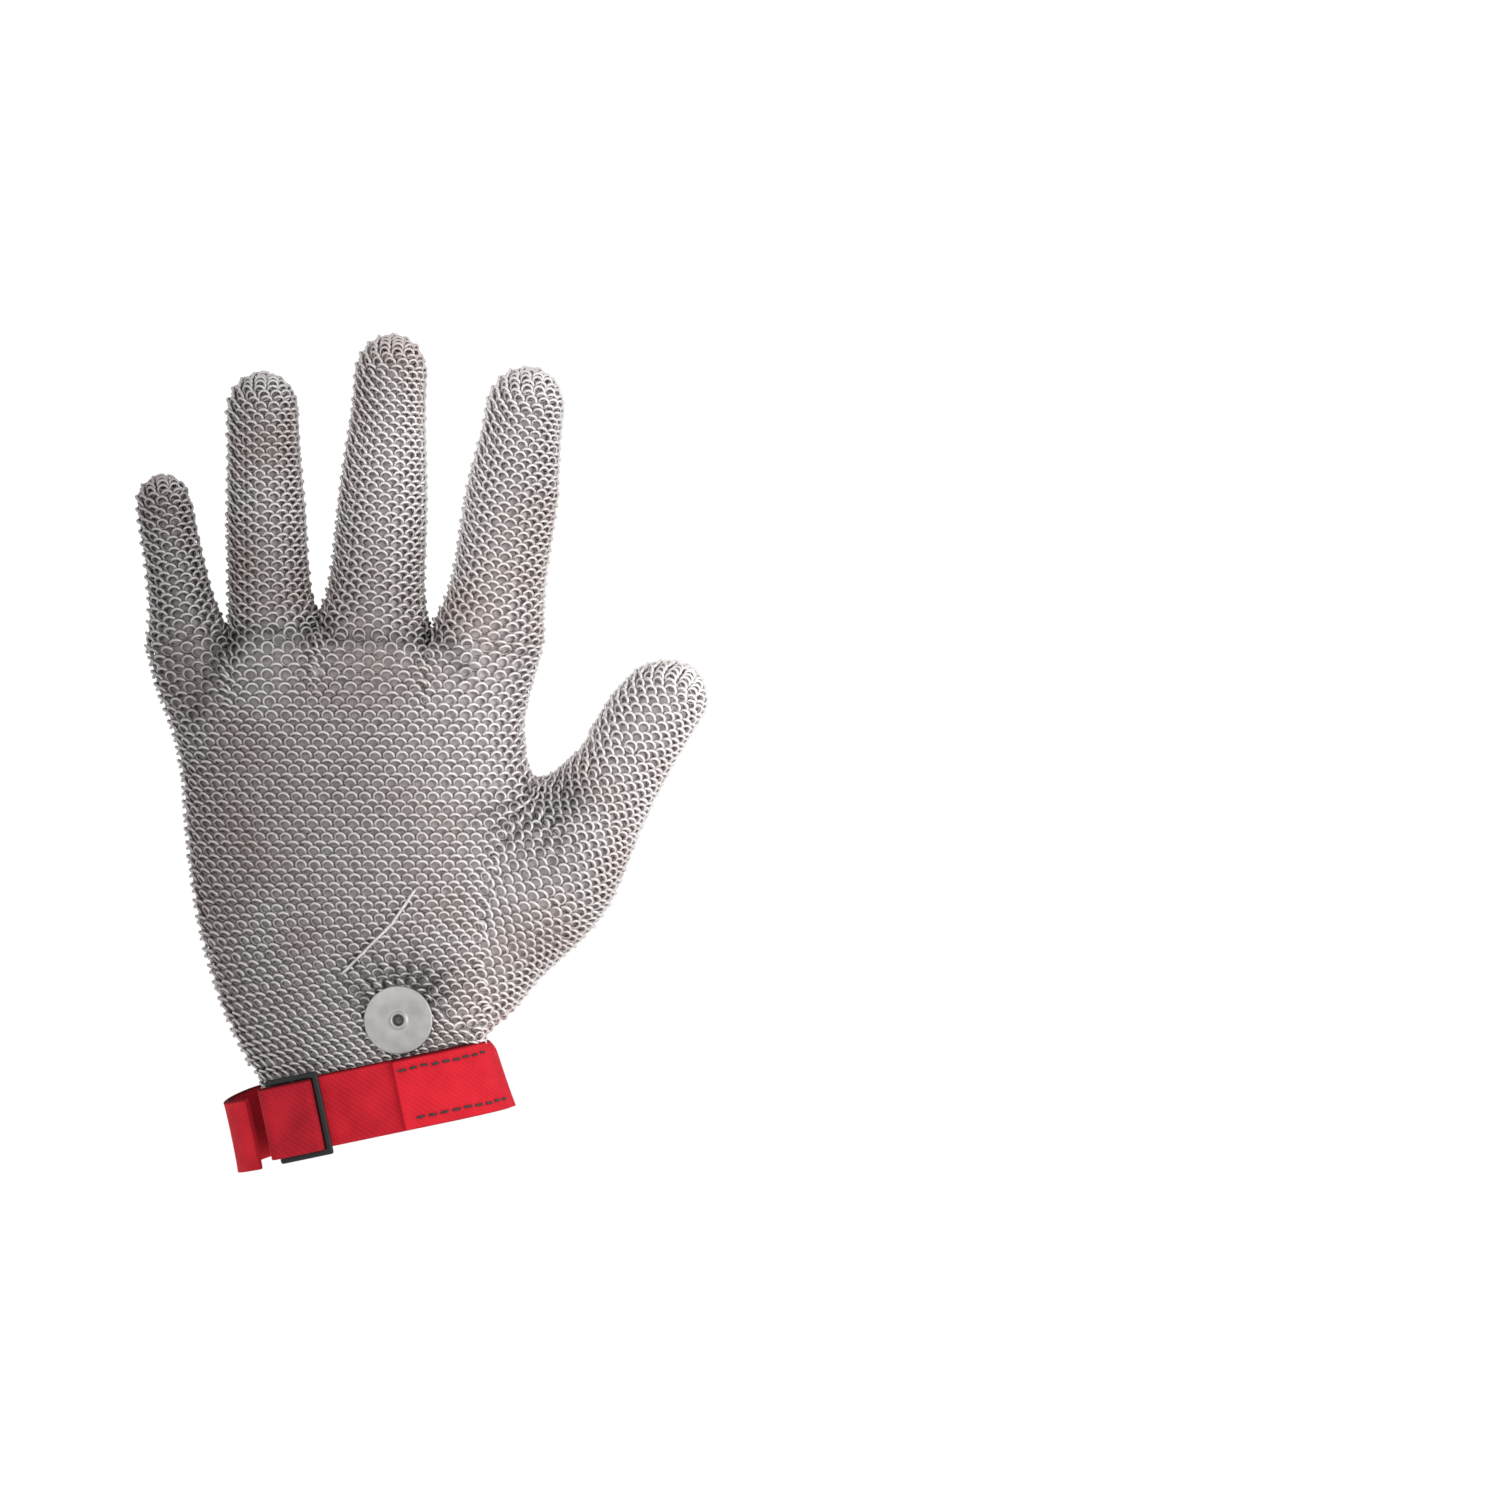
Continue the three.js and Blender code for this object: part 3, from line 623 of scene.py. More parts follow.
# a sheet of painted shade under the rings, standing for their shadowed far sides; it runs on under its
# neighbour by the overlap
shadeLayout = {
    "across": 44, "upward": 60,             # faces across the palm and rows of corners up it
    "fingerTurns": 36, "thumbTurns": 40,    # faces round a digit
    "rowHeight": 1.6, "overlap": 1.5,
    "tipEases": 0.8,                        # below 1, rows crowd together at the tip
}


def seamHeight(name):
    return hand["lowestRow"] + fingers[name]["seamRow"] * rowStep


def aboveHem(points):
    return points[:, 2] - strapSlope * points[:, 0] > hand["lowestRow"]


def seamAt(around):
    # each finger's own rings start on a whole row of the palm's, just below the gaps between the fingers
    seam = np.zeros(len(around))
    for name in fingers:
        low, high = fingers[name]["share"]
        seam = np.where((around >= low) & (around <= high), seamHeight(name), seam)
    return seam


# the mesh is drawn in to these sides and depth, below this height over the strap's middle
cuff = {"left": -27.3, "right": 35.2, "deep": 15.2, "below": 12.5, "fades": 8, "give": 0.12}


def tucked(point):
    tilt = math.radians(hand["strapTilt"])
    along = point[:, 0] * math.cos(tilt) + point[:, 2] * math.sin(tilt)
    up = point[:, 2] * math.cos(tilt) - point[:, 0] * math.sin(tilt)
    amount = (1 - fade(up, cuff["below"], cuff["below"] + cuff["fades"])) * (1 - cuff["give"])
    past = np.maximum(along - cuff["right"], 0) + np.minimum(along - cuff["left"], 0)
    deep = point[:, 1] - np.clip(point[:, 1], -cuff["deep"], cuff["deep"])
    point[:, 0] -= past * amount * math.cos(tilt)
    point[:, 2] -= past * amount * math.sin(tilt)
    point[:, 1] -= deep * amount
    return point


def withFolds(point):
    # gathers and ripples on the back of the hand
    point = tucked(point)
    back = np.clip(-point[:, 1] / 8, 0, 1)
    point[:, 1] -= foldHeight(point) * back * (1 - fade(point[:, 2], 128, 146))
    return point


def handSurface(side):
    return lambda around, height: withFolds(palmPoint(side, np.clip(around, 0, 1), height))


def thumbSurface(around, walked):
    point = thumbPoint(around, walked)
    near = palmField(point) < thumb["webRound"] * 1.5
    point[near] = settle(point[near])
    return withFolds(point)


def gridFaces(rows, columns, closed=False):
    i, j = np.meshgrid(np.arange(rows - 1), np.arange(columns if closed else columns - 1), indexing="ij")
    i, j = i.ravel(), j.ravel()
    k = (j + 1) % columns
    return np.stack([i * columns + j, i * columns + k, (i + 1) * columns + k, (i + 1) * columns + j], 1)


def underShade(surface, across, walked, stepAcross, stepAlong, sign):
    # points for the sheet of painted shade, as far under the mesh as the shadowed sides of its rings
    point, _, _, out, _, _ = surfaceFrame(surface, across, walked, stepAcross, stepAlong)
    return point + sign * ringMesh["shadeDepth"] * out


def gridShares(rows, steps):
    # shares of the way up and across, for a skin of this many rows and this many faces across
    shares = np.meshgrid(np.linspace(0, 1, rows), np.linspace(0, 1, steps + 1), indexing="ij")
    return [part.ravel() for part in shares]


def paintedShadeSheet(name, points, faces, shares):
    # a sheet of painted shade, carrying the painted light and shade of the rings too
    made = makeObject(name, points, faces, paintedShadeSteel, cells=shares[faces].reshape(-1, 2))
    paintLightAndTint(made, points)
    return made


def attach(piece, nodes, body, bend=None):
    # bend is (other body, start, end) for a piece that crosses a joint
    if bend:
        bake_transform(piece)
    else:
        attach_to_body(piece, body)
    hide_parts(*nodes)


def splitPieces(name, chosen):
    parts = math.ceil(len(chosen) / ringMesh["mostRings"])
    return [(f"{name}_{i + 1}", part) for i, part in enumerate(np.array_split(chosen, parts))]


def layPalm(side, label, node):
    columns = hand["columns"]
    rows = np.arange(max(fingers[name]["seamRow"] for name in fingers) + 1)
    row, column = [part.ravel() for part in np.meshgrid(rows, np.arange(columns), indexing="ij")]
    around = (column + 0.25 + 0.5 * (row % 2)) / columns
    height = hand["lowestRow"] + row * rowStep
    odd = row % 2 == 1
    surface = handSurface(side)
    point, right, up, out, wide, _ = surfaceFrame(surface, around, height, 0.004, 0.3)
    out = -side * out
    inStud = (side < 0) & (polar(point, studCentre)[0] < folds["studHole"])
    inThumb = thumbField(rawPalm(side, around, height)) <= -0.3
    keep = (height < seamAt(around) + rowStep / 2) & ~inThumb & ~inStud
    for name, chosen in splitPieces(f"{label}_rings", np.flatnonzero(keep)):
        piece = layRings(name, point[chosen], right[chosen], up[chosen], out[chosen],
                         wide[chosen] / columns, leans(odd[chosen]), steelWire)
        attach(piece, [node], "hand")
    # the sheet of painted shade follows the same surface
    along, across = gridShares(shadeLayout["upward"], shadeLayout["across"])
    height = hand["lowestRow"] + along * (seamAt(across) - hand["lowestRow"])
    inner = underShade(surface, np.clip(across, 0.002, 0.998), height, 0.002, 0.3, side)
    faces = gridFaces(shadeLayout["upward"], shadeLayout["across"] + 1)
    inThumb = thumbField(rawPalm(side, across, height)) < -2
    faces = faces[~inThumb[faces].any(1)]
    piece = paintedShadeSheet(f"{label}_painted_shade", inner, faces, np.stack([across, along], 1))
    attach(piece, [node], "hand")


layPalm(-1, "back", "back_panel_mesh")
layPalm(1, "palm", "palm_panel_mesh")


# a line of rings that has been pulled tight and stands up from the back of the hand, on edge
pulled = {
    "from": (-6.1, 39.3), "over": (7, 52.4), "to": (13.5, 61.8),
    "spacing": 0.7, "lift": 0.1, "lean": 88.0,
}


def sectionDepth(x, z):
    littleSide, thumbSide, depth = (smoothLine(np.array([z]), hand["sections"], i)[0] for i in (1, 2, 3))
    across = abs(x - (littleSide + thumbSide) / 2) / ((thumbSide - littleSide) / 2)
    return depth * (1 - across ** hand["power"]) ** (1 / hand["power"])


def layPulledLine():
    corners = np.array([pulled["from"], pulled["over"], pulled["to"]])
    walked = np.concatenate([[0], np.cumsum(np.hypot(*np.diff(corners, axis=0).T))])
    at = np.arange(0, walked[-1], pulled["spacing"])
    x, z = np.interp(at, walked, corners[:, 0]), np.interp(at, walked, corners[:, 1])
    flat = np.stack([x, np.zeros(len(x)), z], 1)
    depth = -np.array([sectionDepth(*corner) for corner in zip(x, z)]) - foldHeight(flat) - pulled["lift"]
    point = np.stack([x, depth, z], 1)
    heading = np.gradient(point, axis=0)
    heading /= np.linalg.norm(heading, axis=1)[:, None]
    side = np.cross(heading, np.tile([0.0, -1.0, 0.0], (len(x), 1)))
    side /= np.linalg.norm(side, axis=1)[:, None]
    piece = layRings("pulled_rings", point, heading, side, np.cross(side, heading),
                     np.full(len(x), ringMesh["pitch"]), np.full(len(x), pulled["lean"]), steelWire)
    attach(piece, ["back_panel_mesh"], "hand")


layPulledLine()
print("palm laid")


def domeCount(radius):
    # rings in one row of a round tip, 3.4 mm apart
    return max(round(2 * np.pi * radius * 0.92 / 3.4), 3)


def axisPoint(d, distance):
    return tuple((d["root"] + d["along"] * distance) * mm)


def fingerRows(name):
    # turn round the finger, height, odd rows and share of one side for every ring; whole rows from the seam up
    d = digits[name]
    rootHeight = d["root"][2]
    tipStart = d["length"] - tipShare * d["radii"][-1][1]
    rise = d["profile"][0][-1] + rootHeight - seamHeight(name)
    turns, heights, odds, shares = [], [], [], []
    for row in range(1, int(rise / fingerRowStep) + 1):
        height = seamHeight(name) + row * fingerRowStep
        walked = height - rootHeight
        distance, radius = [np.interp(walked, d["profile"][0], part) for part in d["profile"][1:]]
        count = 2 * d["columns"] if distance < tipStart else domeCount(radius)
        odd = (row + d["seamRow"]) % 2
        turns.append((np.arange(count) + 0.25 + 0.5 * odd) / count % 1)
        heights.append(np.full(count, height))
        odds.append(np.full(count, odd == 1))
        shares.append(np.full(count, 2.0 / count))
    return [np.concatenate(part) for part in (turns, heights, odds, shares)]


def fingerSide(d, turn, margin):
    # which face of the hand a turn is on, and where that is across the palm's width
    low, high = d["share"]
    local = np.clip(np.where(turn < 0.5, 2 * turn, 2 * (1 - turn)), margin, 1 - margin)
    return np.where(turn < 0.5, -1, 1), low + local * (high - low)


def layFinger(name):
    d = digits[name]
    turn, height, odd, share = fingerRows(name)
    side, around = fingerSide(d, turn, 0.012)
    distance = np.interp(height - d["root"][2], *d["profile"][:2])
    frames = [np.zeros((len(height), 3)) for _ in range(4)] + [np.zeros(len(height))]
    for face in (-1, 1):
        mine = side == face
        parts = surfaceFrame(handSurface(face), around[mine], height[mine], 0.002, 0.25)
        for target, part in zip(frames, parts):
            target[mine] = part
    point, right, up, out, wide = frames
    out = -out * side[:, None]
    spacing = wide * (d["share"][1] - d["share"][0]) * share
    middle, end = [knuckle(f"{name}_{part}_knuckle", d["root"], d["along"]) for part in ("middle", "end")]
    zone = d["zones"]
    cuts = [-99, (zone[1] + middle - zone[2]) / 2, (middle + zone[2] + end - zone[3]) / 2, 999]
    # stretch, the bodies on both sides of its knuckle, and where the bend starts and ends
    stretches = [("root", "hand", f"{name}_proximal", zone[0], zone[1]),
                 ("middle", f"{name}_proximal", f"{name}_middle", middle - zone[2], middle + zone[2]),
                 ("end", f"{name}_middle", f"{name}_distal", end - zone[3], end + zone[3])]
    for (stretch, body, nextBody, bendStart, bendEnd), low, high in zip(stretches, cuts, cuts[1:]):
        chosen = np.flatnonzero((distance >= low) & (distance < high))
        piece = layRings(f"{name}_{stretch}_rings", point[chosen], right[chosen], up[chosen], out[chosen],
                         spacing[chosen], leans(odd[chosen]), steelWire)
        bend = (nextBody, axisPoint(d, bendStart), axisPoint(d, bendEnd))
        attach(piece, [f"{nextBody}_mesh"], body, bend)
        shadePiece = fingerShade(name, f"{name}_{stretch}_painted_shade", low, high)
        attach(shadePiece, [f"{nextBody}_mesh"], body, bend)


def fingerShade(name, label, fromCut, toCut):
    # the sheet of painted shade under one stretch, from one cut across the finger to the next
    d = digits[name]
    turns = shadeLayout["fingerTurns"]
    isRoot, isTip = fromCut < 0, toCut > d["length"]
    cuts = (max(fromCut, -20), min(toCut, d["length"]))
    low, high = [np.interp(cut, d["profile"][1], d["profile"][0]) for cut in cuts]
    rows = max(round((high - max(low, -5)) / shadeLayout["rowHeight"]), 4)
    top = high + d["root"][2] - (0.05 if isTip else 0)
    bottom = seamHeight(name) - shadeLayout["overlap"] if isRoot else low + d["root"][2]
    along, turn = gridShares(rows, turns)
    side, around = fingerSide(d, turn, 0.004)
    height = bottom + along ** (shadeLayout["tipEases"] if isTip else 1) * (top - bottom)
    inner = np.zeros((len(height), 3))
    for face in (-1, 1):
        mine = side == face
        inner[mine] = underShade(handSurface(face), around[mine], height[mine], 0.001, 0.2, face)
    return paintedShadeSheet(label, inner, gridFaces(rows, turns + 1), np.stack([turn, along], 1))


for fingerName in fingers:
    layFinger(fingerName)
print("fingers laid")


def thumbRows():
    # distance along the surface, turn, odd rows and share of a turn for every ring, in rows from root to tip
    d = digits["thumb"]
    lowest, highest = d["profile"][0][0], d["profile"][0][-1]
    tipStart = d["length"] - tipShare * d["radii"][-1][1]
    guess = np.arange(lowest, highest + 20, d["rowGuess"])
    steps = np.interp(guess, d["rowsCloseUp"], (rowStep, fingerRowStep))
    walked, turns, odds, shares = [], [], [], []
    for row, at in enumerate(lowest + np.cumsum(steps)):
        if at > highest:
            break
        distance, radius = [np.interp(at, d["profile"][0], part) for part in d["profile"][1:]]
        count = next(count for top, count in d["counts"] if distance < top)
        if distance > tipStart:
            count = domeCount(radius)
        walked.append(np.full(count, at))
        turns.append((np.arange(count) + 0.25 + 0.5 * (row % 2)) / count % 1)
        odds.append(np.full(count, row % 2 == 1))
        shares.append(np.full(count, 1 / count))
    return [np.concatenate(part) for part in (walked, turns, odds, shares)]


def layThumb():
    d = digits["thumb"]
    walked, turn, odd, share = thumbRows()
    raw = thumbPoint(turn, walked)
    point, right, up, out, wide, _ = surfaceFrame(thumbSurface, turn, walked, 0.004, 0.25)
    keep = (palmField(raw) > -0.3) & aboveHem(raw)
    distance = np.interp(walked, *d["profile"][:2])
    end = knuckle("thumb_end_knuckle", d["root"], d["along"])
    zone = d["zones"]
    cuts = [-999, zone[0], (zone[1] + end - zone[2]) / 2, 999]
    rootBend = ("thumb_proximal", axisPoint(d, zone[0]), axisPoint(d, zone[1]))
    endBend = ("thumb_distal", axisPoint(d, end - zone[2]), axisPoint(d, end + zone[2]))
    stretches = [("root", "hand", None, "thumb_root_mesh"),
                 ("middle", "hand", rootBend, "thumb_proximal_mesh"),
                 ("end", "thumb_proximal", endBend, "thumb_distal_mesh")]
    for (stretch, body, bend, node), low, high in zip(stretches, cuts, cuts[1:]):
        chosen = np.flatnonzero(keep & (distance >= low) & (distance < high))
        piece = layRings(f"thumb_{stretch}_rings", point[chosen], right[chosen], up[chosen], out[chosen],
                         (wide * share)[chosen], leans(odd[chosen]), steelWire)
        attach(piece, [node], body, bend)
        attach(thumbShade(f"thumb_{stretch}_painted_shade", low, high), [node], body, bend)


def thumbShade(label, fromCut, toCut):
    # the sheet of painted shade under one stretch of the thumb
    d = digits["thumb"]
    isTip = toCut > d["length"]
    low = np.interp(max(fromCut, d["radii"][0][0]), d["profile"][1], d["profile"][0])
    high = np.interp(min(toCut, d["length"]), d["profile"][1], d["profile"][0]) - (0.05 if isTip else 0)
    rows, turns = max(round((high - low) / shadeLayout["rowHeight"]), 4), shadeLayout["thumbTurns"]
    along, around = gridShares(rows, turns)
    height = low + along ** (shadeLayout["tipEases"] if isTip else 1) * (high - low)
    start = thumbPoint(around, height)
    hidden = (palmField(start) < -2) | ~aboveHem(start)
    faces = gridFaces(rows, turns + 1)
    faces = faces[~hidden[faces].any(1)]
    shadePiece = underShade(thumbSurface, around, height, 0.002, 0.2, -1)
    return paintedShadeSheet(label, shadePiece, faces, np.stack([around, along], 1))


layThumb()
print("thumb laid")


# The strap: red webbing round the wrist, doubled and sewn towards the thumb

strap = {
    "halfDepth": 18.2, "halfLength": 39.6, "thickness": 1.3,
    "low": -7.8, "high": 12.2,      # its edges, from the middle of the cuff
    "cone": 2.4,            # the upper edge at the thumb side is this much further in than the lower
    "corner": 1.5,          # and its top corner is rounded off
    "reach": 0.6,           # how much fuller the bends at both sides stand
    "doubledStart": 9.8, "freeEnd": -32.7,
    "freeEndDrops": 2.4,    # the free end sits a little lower than the front
    "stitchPitch": 3.4, "stitchLength": 2.4, "thread": 0.36,
    "threadSpacing": 0.9,   # the ribs of the weave are 1.4 times this apart
}
strapTilt = math.radians(hand["strapTilt"])
strapAlong = np.array([math.cos(strapTilt), 0, math.sin(strapTilt)])
strapUp = np.array([-strapAlong[2], 0, strapAlong[0]])


def strapPoint(along, depth, up):
    # along and up the strap and in depth, to the hand's own directions
    share = np.clip((up - strap["low"]) / (strap["high"] - strap["low"]), -0.1, 1.1)
    rounded = strap["corner"] * np.clip((share - 0.8) / 0.2, 0, 1) ** 2
    inward = strap["cone"] * share - strap["reach"] + rounded
    along = along - inward * fade(along, 12, 36) - strap["reach"] * fade(-along, 30, 39)
    return along[..., None] * strapAlong + depth[..., None] * np.array([0, 1, 0]) + up[..., None] * strapUp


def arcLine(centre, radius, fromAngle, toAngle, steps):
    angles = np.radians(np.linspace(fromAngle, toAngle, steps))
    return np.stack([centre[0] + radius * np.cos(angles), centre[1] + radius * np.sin(angles)], 1)


def evenLine(points, step):
    points = np.asarray(points, float)
    walked = np.concatenate([[0], np.cumsum(np.hypot(*np.diff(points, axis=0).T))])
    at = np.linspace(0, walked[-1], max(round(walked[-1] / step), 2) + 1)
    return np.stack([np.interp(at, walked, points[:, 0]), np.interp(at, walked, points[:, 1])], 1), at


def webbing(name, line, edges, material, step=0.8, bow=0.0):
    # a flat strap on edge: line is its middle in length and depth, edges gives its lower and upper edge
    line, walked = evenLine(line, step)
    tangent = np.gradient(line, axis=0)
    tangent /= np.hypot(*tangent.T)[:, None]
    normal = np.stack([-tangent[:, 1], tangent[:, 0]], 1)
    low, high = [np.broadcast_to(edge, walked.shape) for edge in edges(walked / walked[-1])]
    # the outline of the strap across its width, with rounded edges
    flat = np.linspace(0, 1, 25)
    rise = np.concatenate([flat, [1.012, 1.016, 1.012], flat[::-1], [-0.012, -0.016, -0.012]])
    out = np.concatenate([np.full(25, 0.5), [0.32, 0, -0.32], np.full(25, -0.5), [-0.32, 0, 0.32]])
    crown = np.sin(np.pi * np.clip(rise, 0, 1)) ** 0.5 * bow
    shift = out[None] * strap["thickness"] + crown[None]
    along = line[:, 0, None] + normal[:, 0, None] * shift
    depth = line[:, 1, None] + normal[:, 1, None] * shift
    up = low[:, None] + (high - low)[:, None] * rise[None]
    ring, rows = len(rise), len(line)
    faces = gridFaces(rows, ring, closed=True)
    made = makeObject(name, strapPoint(along, depth, up).reshape(-1, 3), faces, material)
    # the weave runs along the strap and up it, in millimetres
    weave = np.stack([np.repeat(walked, ring), np.tile(rise * (strap["high"] - strap["low"]), rows)], 1)
    layer = made.data.uv_layers.new(name="weave")
    layer.data.foreach_set("uv", weave[faces].astype(np.float32).ravel())
    closeEnds(made, rows, ring)
    return made


def closeEnds(piece, rows, ring):
    # caps the two cut ends
    bm = bmesh.new()
    bm.from_mesh(piece.data)
    bm.verts.ensure_lookup_table()
    bm.faces.new([bm.verts[i] for i in range(ring)][::-1])
    bm.faces.new([bm.verts[(rows - 1) * ring + i] for i in range(ring)])
    bmesh.ops.recalc_face_normals(bm, faces=bm.faces[:])
    bm.to_mesh(piece.data)
    bm.free()


def redWebbing(name, lit, shaded):
    # polyester webbing, woven flat and dyed: a soft even red, fine ribs and a faint fuzz at grazing angles
    material, tree, shader = startMaterial(name, {
        "Roughness": 0.85, "Specular IOR Level": 0.08, "Sheen Weight": 0.03, "Sheen Roughness": 0.5,
        "Sheen Tint": srgb("#ff8f96"),
    })
    weave = addNode(tree, "ShaderNodeUVMap", {"uv_map": "weave"}).outputs["UV"]
    where = addNode(tree, "ShaderNodeTexCoord").outputs["Object"]
    # at scale 0.314 a wave along X repeats every millimetre and a diagonal one every 1.4
    # the ribs are drawn coarser than real ones, so that they show
    ribScale = 0.314 / strap["threadSpacing"]
    crossScale = 0.314 / (strap["threadSpacing"] * 0.7)
    ribs = addNode(tree, "ShaderNodeTexWave", {"wave_type": "BANDS", "bands_direction": "DIAGONAL"},
                   {"Scale": ribScale, "Distortion": 0.6, "Detail": 1.0}, {"Vector": weave})
    cross = addNode(tree, "ShaderNodeTexWave", {"wave_type": "BANDS", "bands_direction": "X"},
                    {"Scale": crossScale, "Distortion": 0.4}, {"Vector": weave})
    grain = addNode(tree, "ShaderNodeTexNoise", inputs={"Scale": 1 / 0.009, "Detail": 4.0},
                    links={"Vector": where})
    both = addNode(tree, "ShaderNodeMath", {"operation": "MULTIPLY"},
                   links={0: ribs.outputs["Fac"], 1: cross.outputs["Fac"]})
    shade = addNode(tree, "ShaderNodeMath", {"operation": "MULTIPLY_ADD"}, {1: 0.35},
                    {0: both.outputs["Value"], 2: grain.outputs["Fac"]})
    # the ribs and grain run between the shaded and the lit red: painted shade in the grooves of the weave and
    # painted light on its ribs
    ramp = setStops(addNode(tree, "ShaderNodeValToRGB", links={"Fac": shade.outputs["Value"]}), [
        (0.35, srgb(shaded)), (0.8, srgb(lit)),
    ])
    # the upper edge is painted darker: painted shade along the edge next to the rings
    rise = addNode(tree, "ShaderNodeSeparateXYZ", links={"Vector": weave})
    nearEdge = addNode(tree, "ShaderNodeMapRange", inputs={"From Min": 19.0, "From Max": 20.4},
                       links={"Value": rise.outputs["Y"]})
    edge = setStops(addNode(tree, "ShaderNodeValToRGB", links={"Fac": nearEdge.outputs["Result"]}), [
        (0.25, srgb("#ffffff")), (0.8, srgb("#6a5a5e")),
    ])
    edgeShaded = addNode(tree, "ShaderNodeMix", {"data_type": "RGBA", "blend_type": "MULTIPLY"}, {"Factor": 1.0},
                     {mixA: ramp.outputs["Color"], mixB: edge.outputs["Color"]})
    bump = addNode(tree, "ShaderNodeBump", inputs={"Strength": 0.35, "Distance": 0.0002},
                   links={"Height": both.outputs["Value"]})
    linkShader(tree, shader, {"Base Color": edgeShaded.outputs[mixResult], "Normal": bump.outputs["Normal"]})
    return material


def speckled(name, inputs, grain, detail, darker, lighter):
    # a material whose colour varies between two shades in grains of this size in metres
    material, tree, shader = startMaterial(name, inputs)
    where = addNode(tree, "ShaderNodeTexCoord").outputs["Object"]
    noise = addNode(tree, "ShaderNodeTexNoise", inputs={"Scale": 1 / grain, "Detail": detail},
                    links={"Vector": where})
    ramp = setStops(addNode(tree, "ShaderNodeValToRGB", links={"Fac": noise.outputs["Fac"]}), [
        (0.3, srgb(darker)), (0.7, srgb(lighter)),
    ])
    linkShader(tree, shader, {"Base Color": ramp.outputs["Color"]})
    return material, tree, shader, noise.outputs["Fac"]


def blackThread():
    # twisted polyester sewing thread: black, slightly brown where worn, with a dull shine
    return speckled("twistedBlackThread", {"Roughness": 0.6}, 0.0006, 2.0, "#1a1414", "#3a2c2c")[0]


def blackPlastic():
    # moulded acetal: near black, satin, with a fine moulded grain
    satin = {"Roughness": 0.45, "Specular IOR Level": 0.3}
    material, tree, shader, grain = speckled("mouldedBlackAcetal", satin, 0.0008, 3.0, "#08090a", "#101213")
    bump = addNode(tree, "ShaderNodeBump", inputs={"Strength": 0.2, "Distance": 0.00005},
                   links={"Height": grain})
    linkShader(tree, shader, {"Normal": bump.outputs["Normal"]})
    return material


def satinSteel():
    # pressed stainless sheet, barrel polished: a light satin grey with cloudy rubs of 4 mm
    metal = {"Metallic": 1.0, "Roughness": 0.4}
    material, tree, shader, rubs = speckled("pressedSatinStainless", metal, 0.004, 5.0, "#969493", "#a8a6a5")
    rough = addNode(tree, "ShaderNodeMapRange", inputs={"To Min": 0.34, "To Max": 0.5},
                    links={"Value": rubs})
    linkShader(tree, shader, {"Roughness": rough.outputs["Result"]})
    return material


# one red webbing in three copies painted lighter and darker: painted light on the doubled layer, painted shade
# on the loop and the tab
paintedLitRed = redWebbing("wovenRedWebbingDoubledPaintedLit", "#cc2431", "#b01c29")
paintedMidRed = redWebbing("wovenRedWebbing", "#b8202c", "#991824")
paintedShadedRed = redWebbing("wovenRedWebbingPaintedShade", "#a01c27", "#80141f")
thread = blackThread()
plastic = blackPlastic()
steel = satinSteel()

bandRadius = strap["halfDepth"] - strap["thickness"] / 2
bendCentre = strap["halfLength"] - strap["halfDepth"]
freeAngle = 180 + math.degrees(math.acos((-bendCentre - strap["freeEnd"]) / bandRadius))


def frontLine(start, radius, end, steps):
    # along the front of the strap and round its bend at the thumb side
    bend = arcLine((bendCentre, 0), radius, -90, end, steps)
    return [(start, -radius), (bendCentre - 0.5, -radius), *bend]


bandLine = [*frontLine(-22, bandRadius, 90, 60), *arcLine((-bendCentre, 0), bandRadius, 90, freeAngle, 60)]


def bandEdges(share):
    drop = strap["freeEndDrops"] * fade(share, 0.8, 0.93)
    return strap["low"] - drop, strap["high"] - drop


def layerEdges(share):
    return strap["low"] + 0.2, strap["high"] - 0.3


band = webbing("strap_webbing", bandLine, bandEdges, paintedMidRed, bow=0.25)
attach(band, ["strap_band"], "hand")
layerRadius = bandRadius + strap["thickness"] + 0.05
layerLine = frontLine(strap["doubledStart"], layerRadius, -8, 40)
doubled = webbing("doubled_webbing", layerLine, layerEdges, paintedLitRed, bow=0.2)
attach(doubled, ["strap_doubled_layer"], "hand")


def stitchRow(name, node, height, start, end):
    # separate stitches, each a short length of thread that dips into the webbing at both ends
    line, walked = evenLine(frontLine(start, layerRadius + strap["thickness"] / 2, end, 30), 0.2)
    tangent = np.gradient(line, axis=0)
    tangent /= np.hypot(*tangent.T)[:, None]
    normal = np.stack([tangent[:, 1], -tangent[:, 0]], 1)
    sides, steps = 8, 9
    share = np.linspace(0, 1, steps)
    turn = 2 * np.pi * np.arange(sides) / sides
    thick = (strap["thread"] * (1 + 0.1 * np.sin(np.pi * share * 6)))[:, None]
    lift = (0.42 * np.sin(np.pi * share) ** 0.5 - 0.12)[:, None] + thick * np.cos(turn) * 0.8
    points, faces = [], []
    for i in range(int(walked[-1] / strap["stitchPitch"])):
        at = (i + 0.1) * strap["stitchPitch"] + share * strap["stitchLength"] * random.uniform(0.9, 1.05)
        side = height + random.normal(0, 0.12) + random.normal(0, 0.1) * (share - 0.5)
        x, y = [np.interp(at, walked, part)[:, None] for part in line.T]
        outX, outY = [np.interp(at, walked, part)[:, None] for part in normal.T]
        points.append(np.stack([x + outX * lift, y + outY * lift, side[:, None] + thick * np.sin(turn)], -1))
        faces.append(gridFaces(steps, sides, closed=True) + i * sides * steps)
    stitches = strapPoint(*np.concatenate(points).reshape(-1, 3).T)
    attach(makeObject(name, stitches, np.concatenate(faces), thread), [node], "hand")


stitchRow("upper_stitches", "stitch_thread_upper", 9.1, 10.8, -28)
stitchRow("lower_stitches", "stitch_thread_lower", -5.0, 13.3, -24)
print("strap sewn")


# The slider: a moulded frame with two slots, and the strap turned back round its left bar

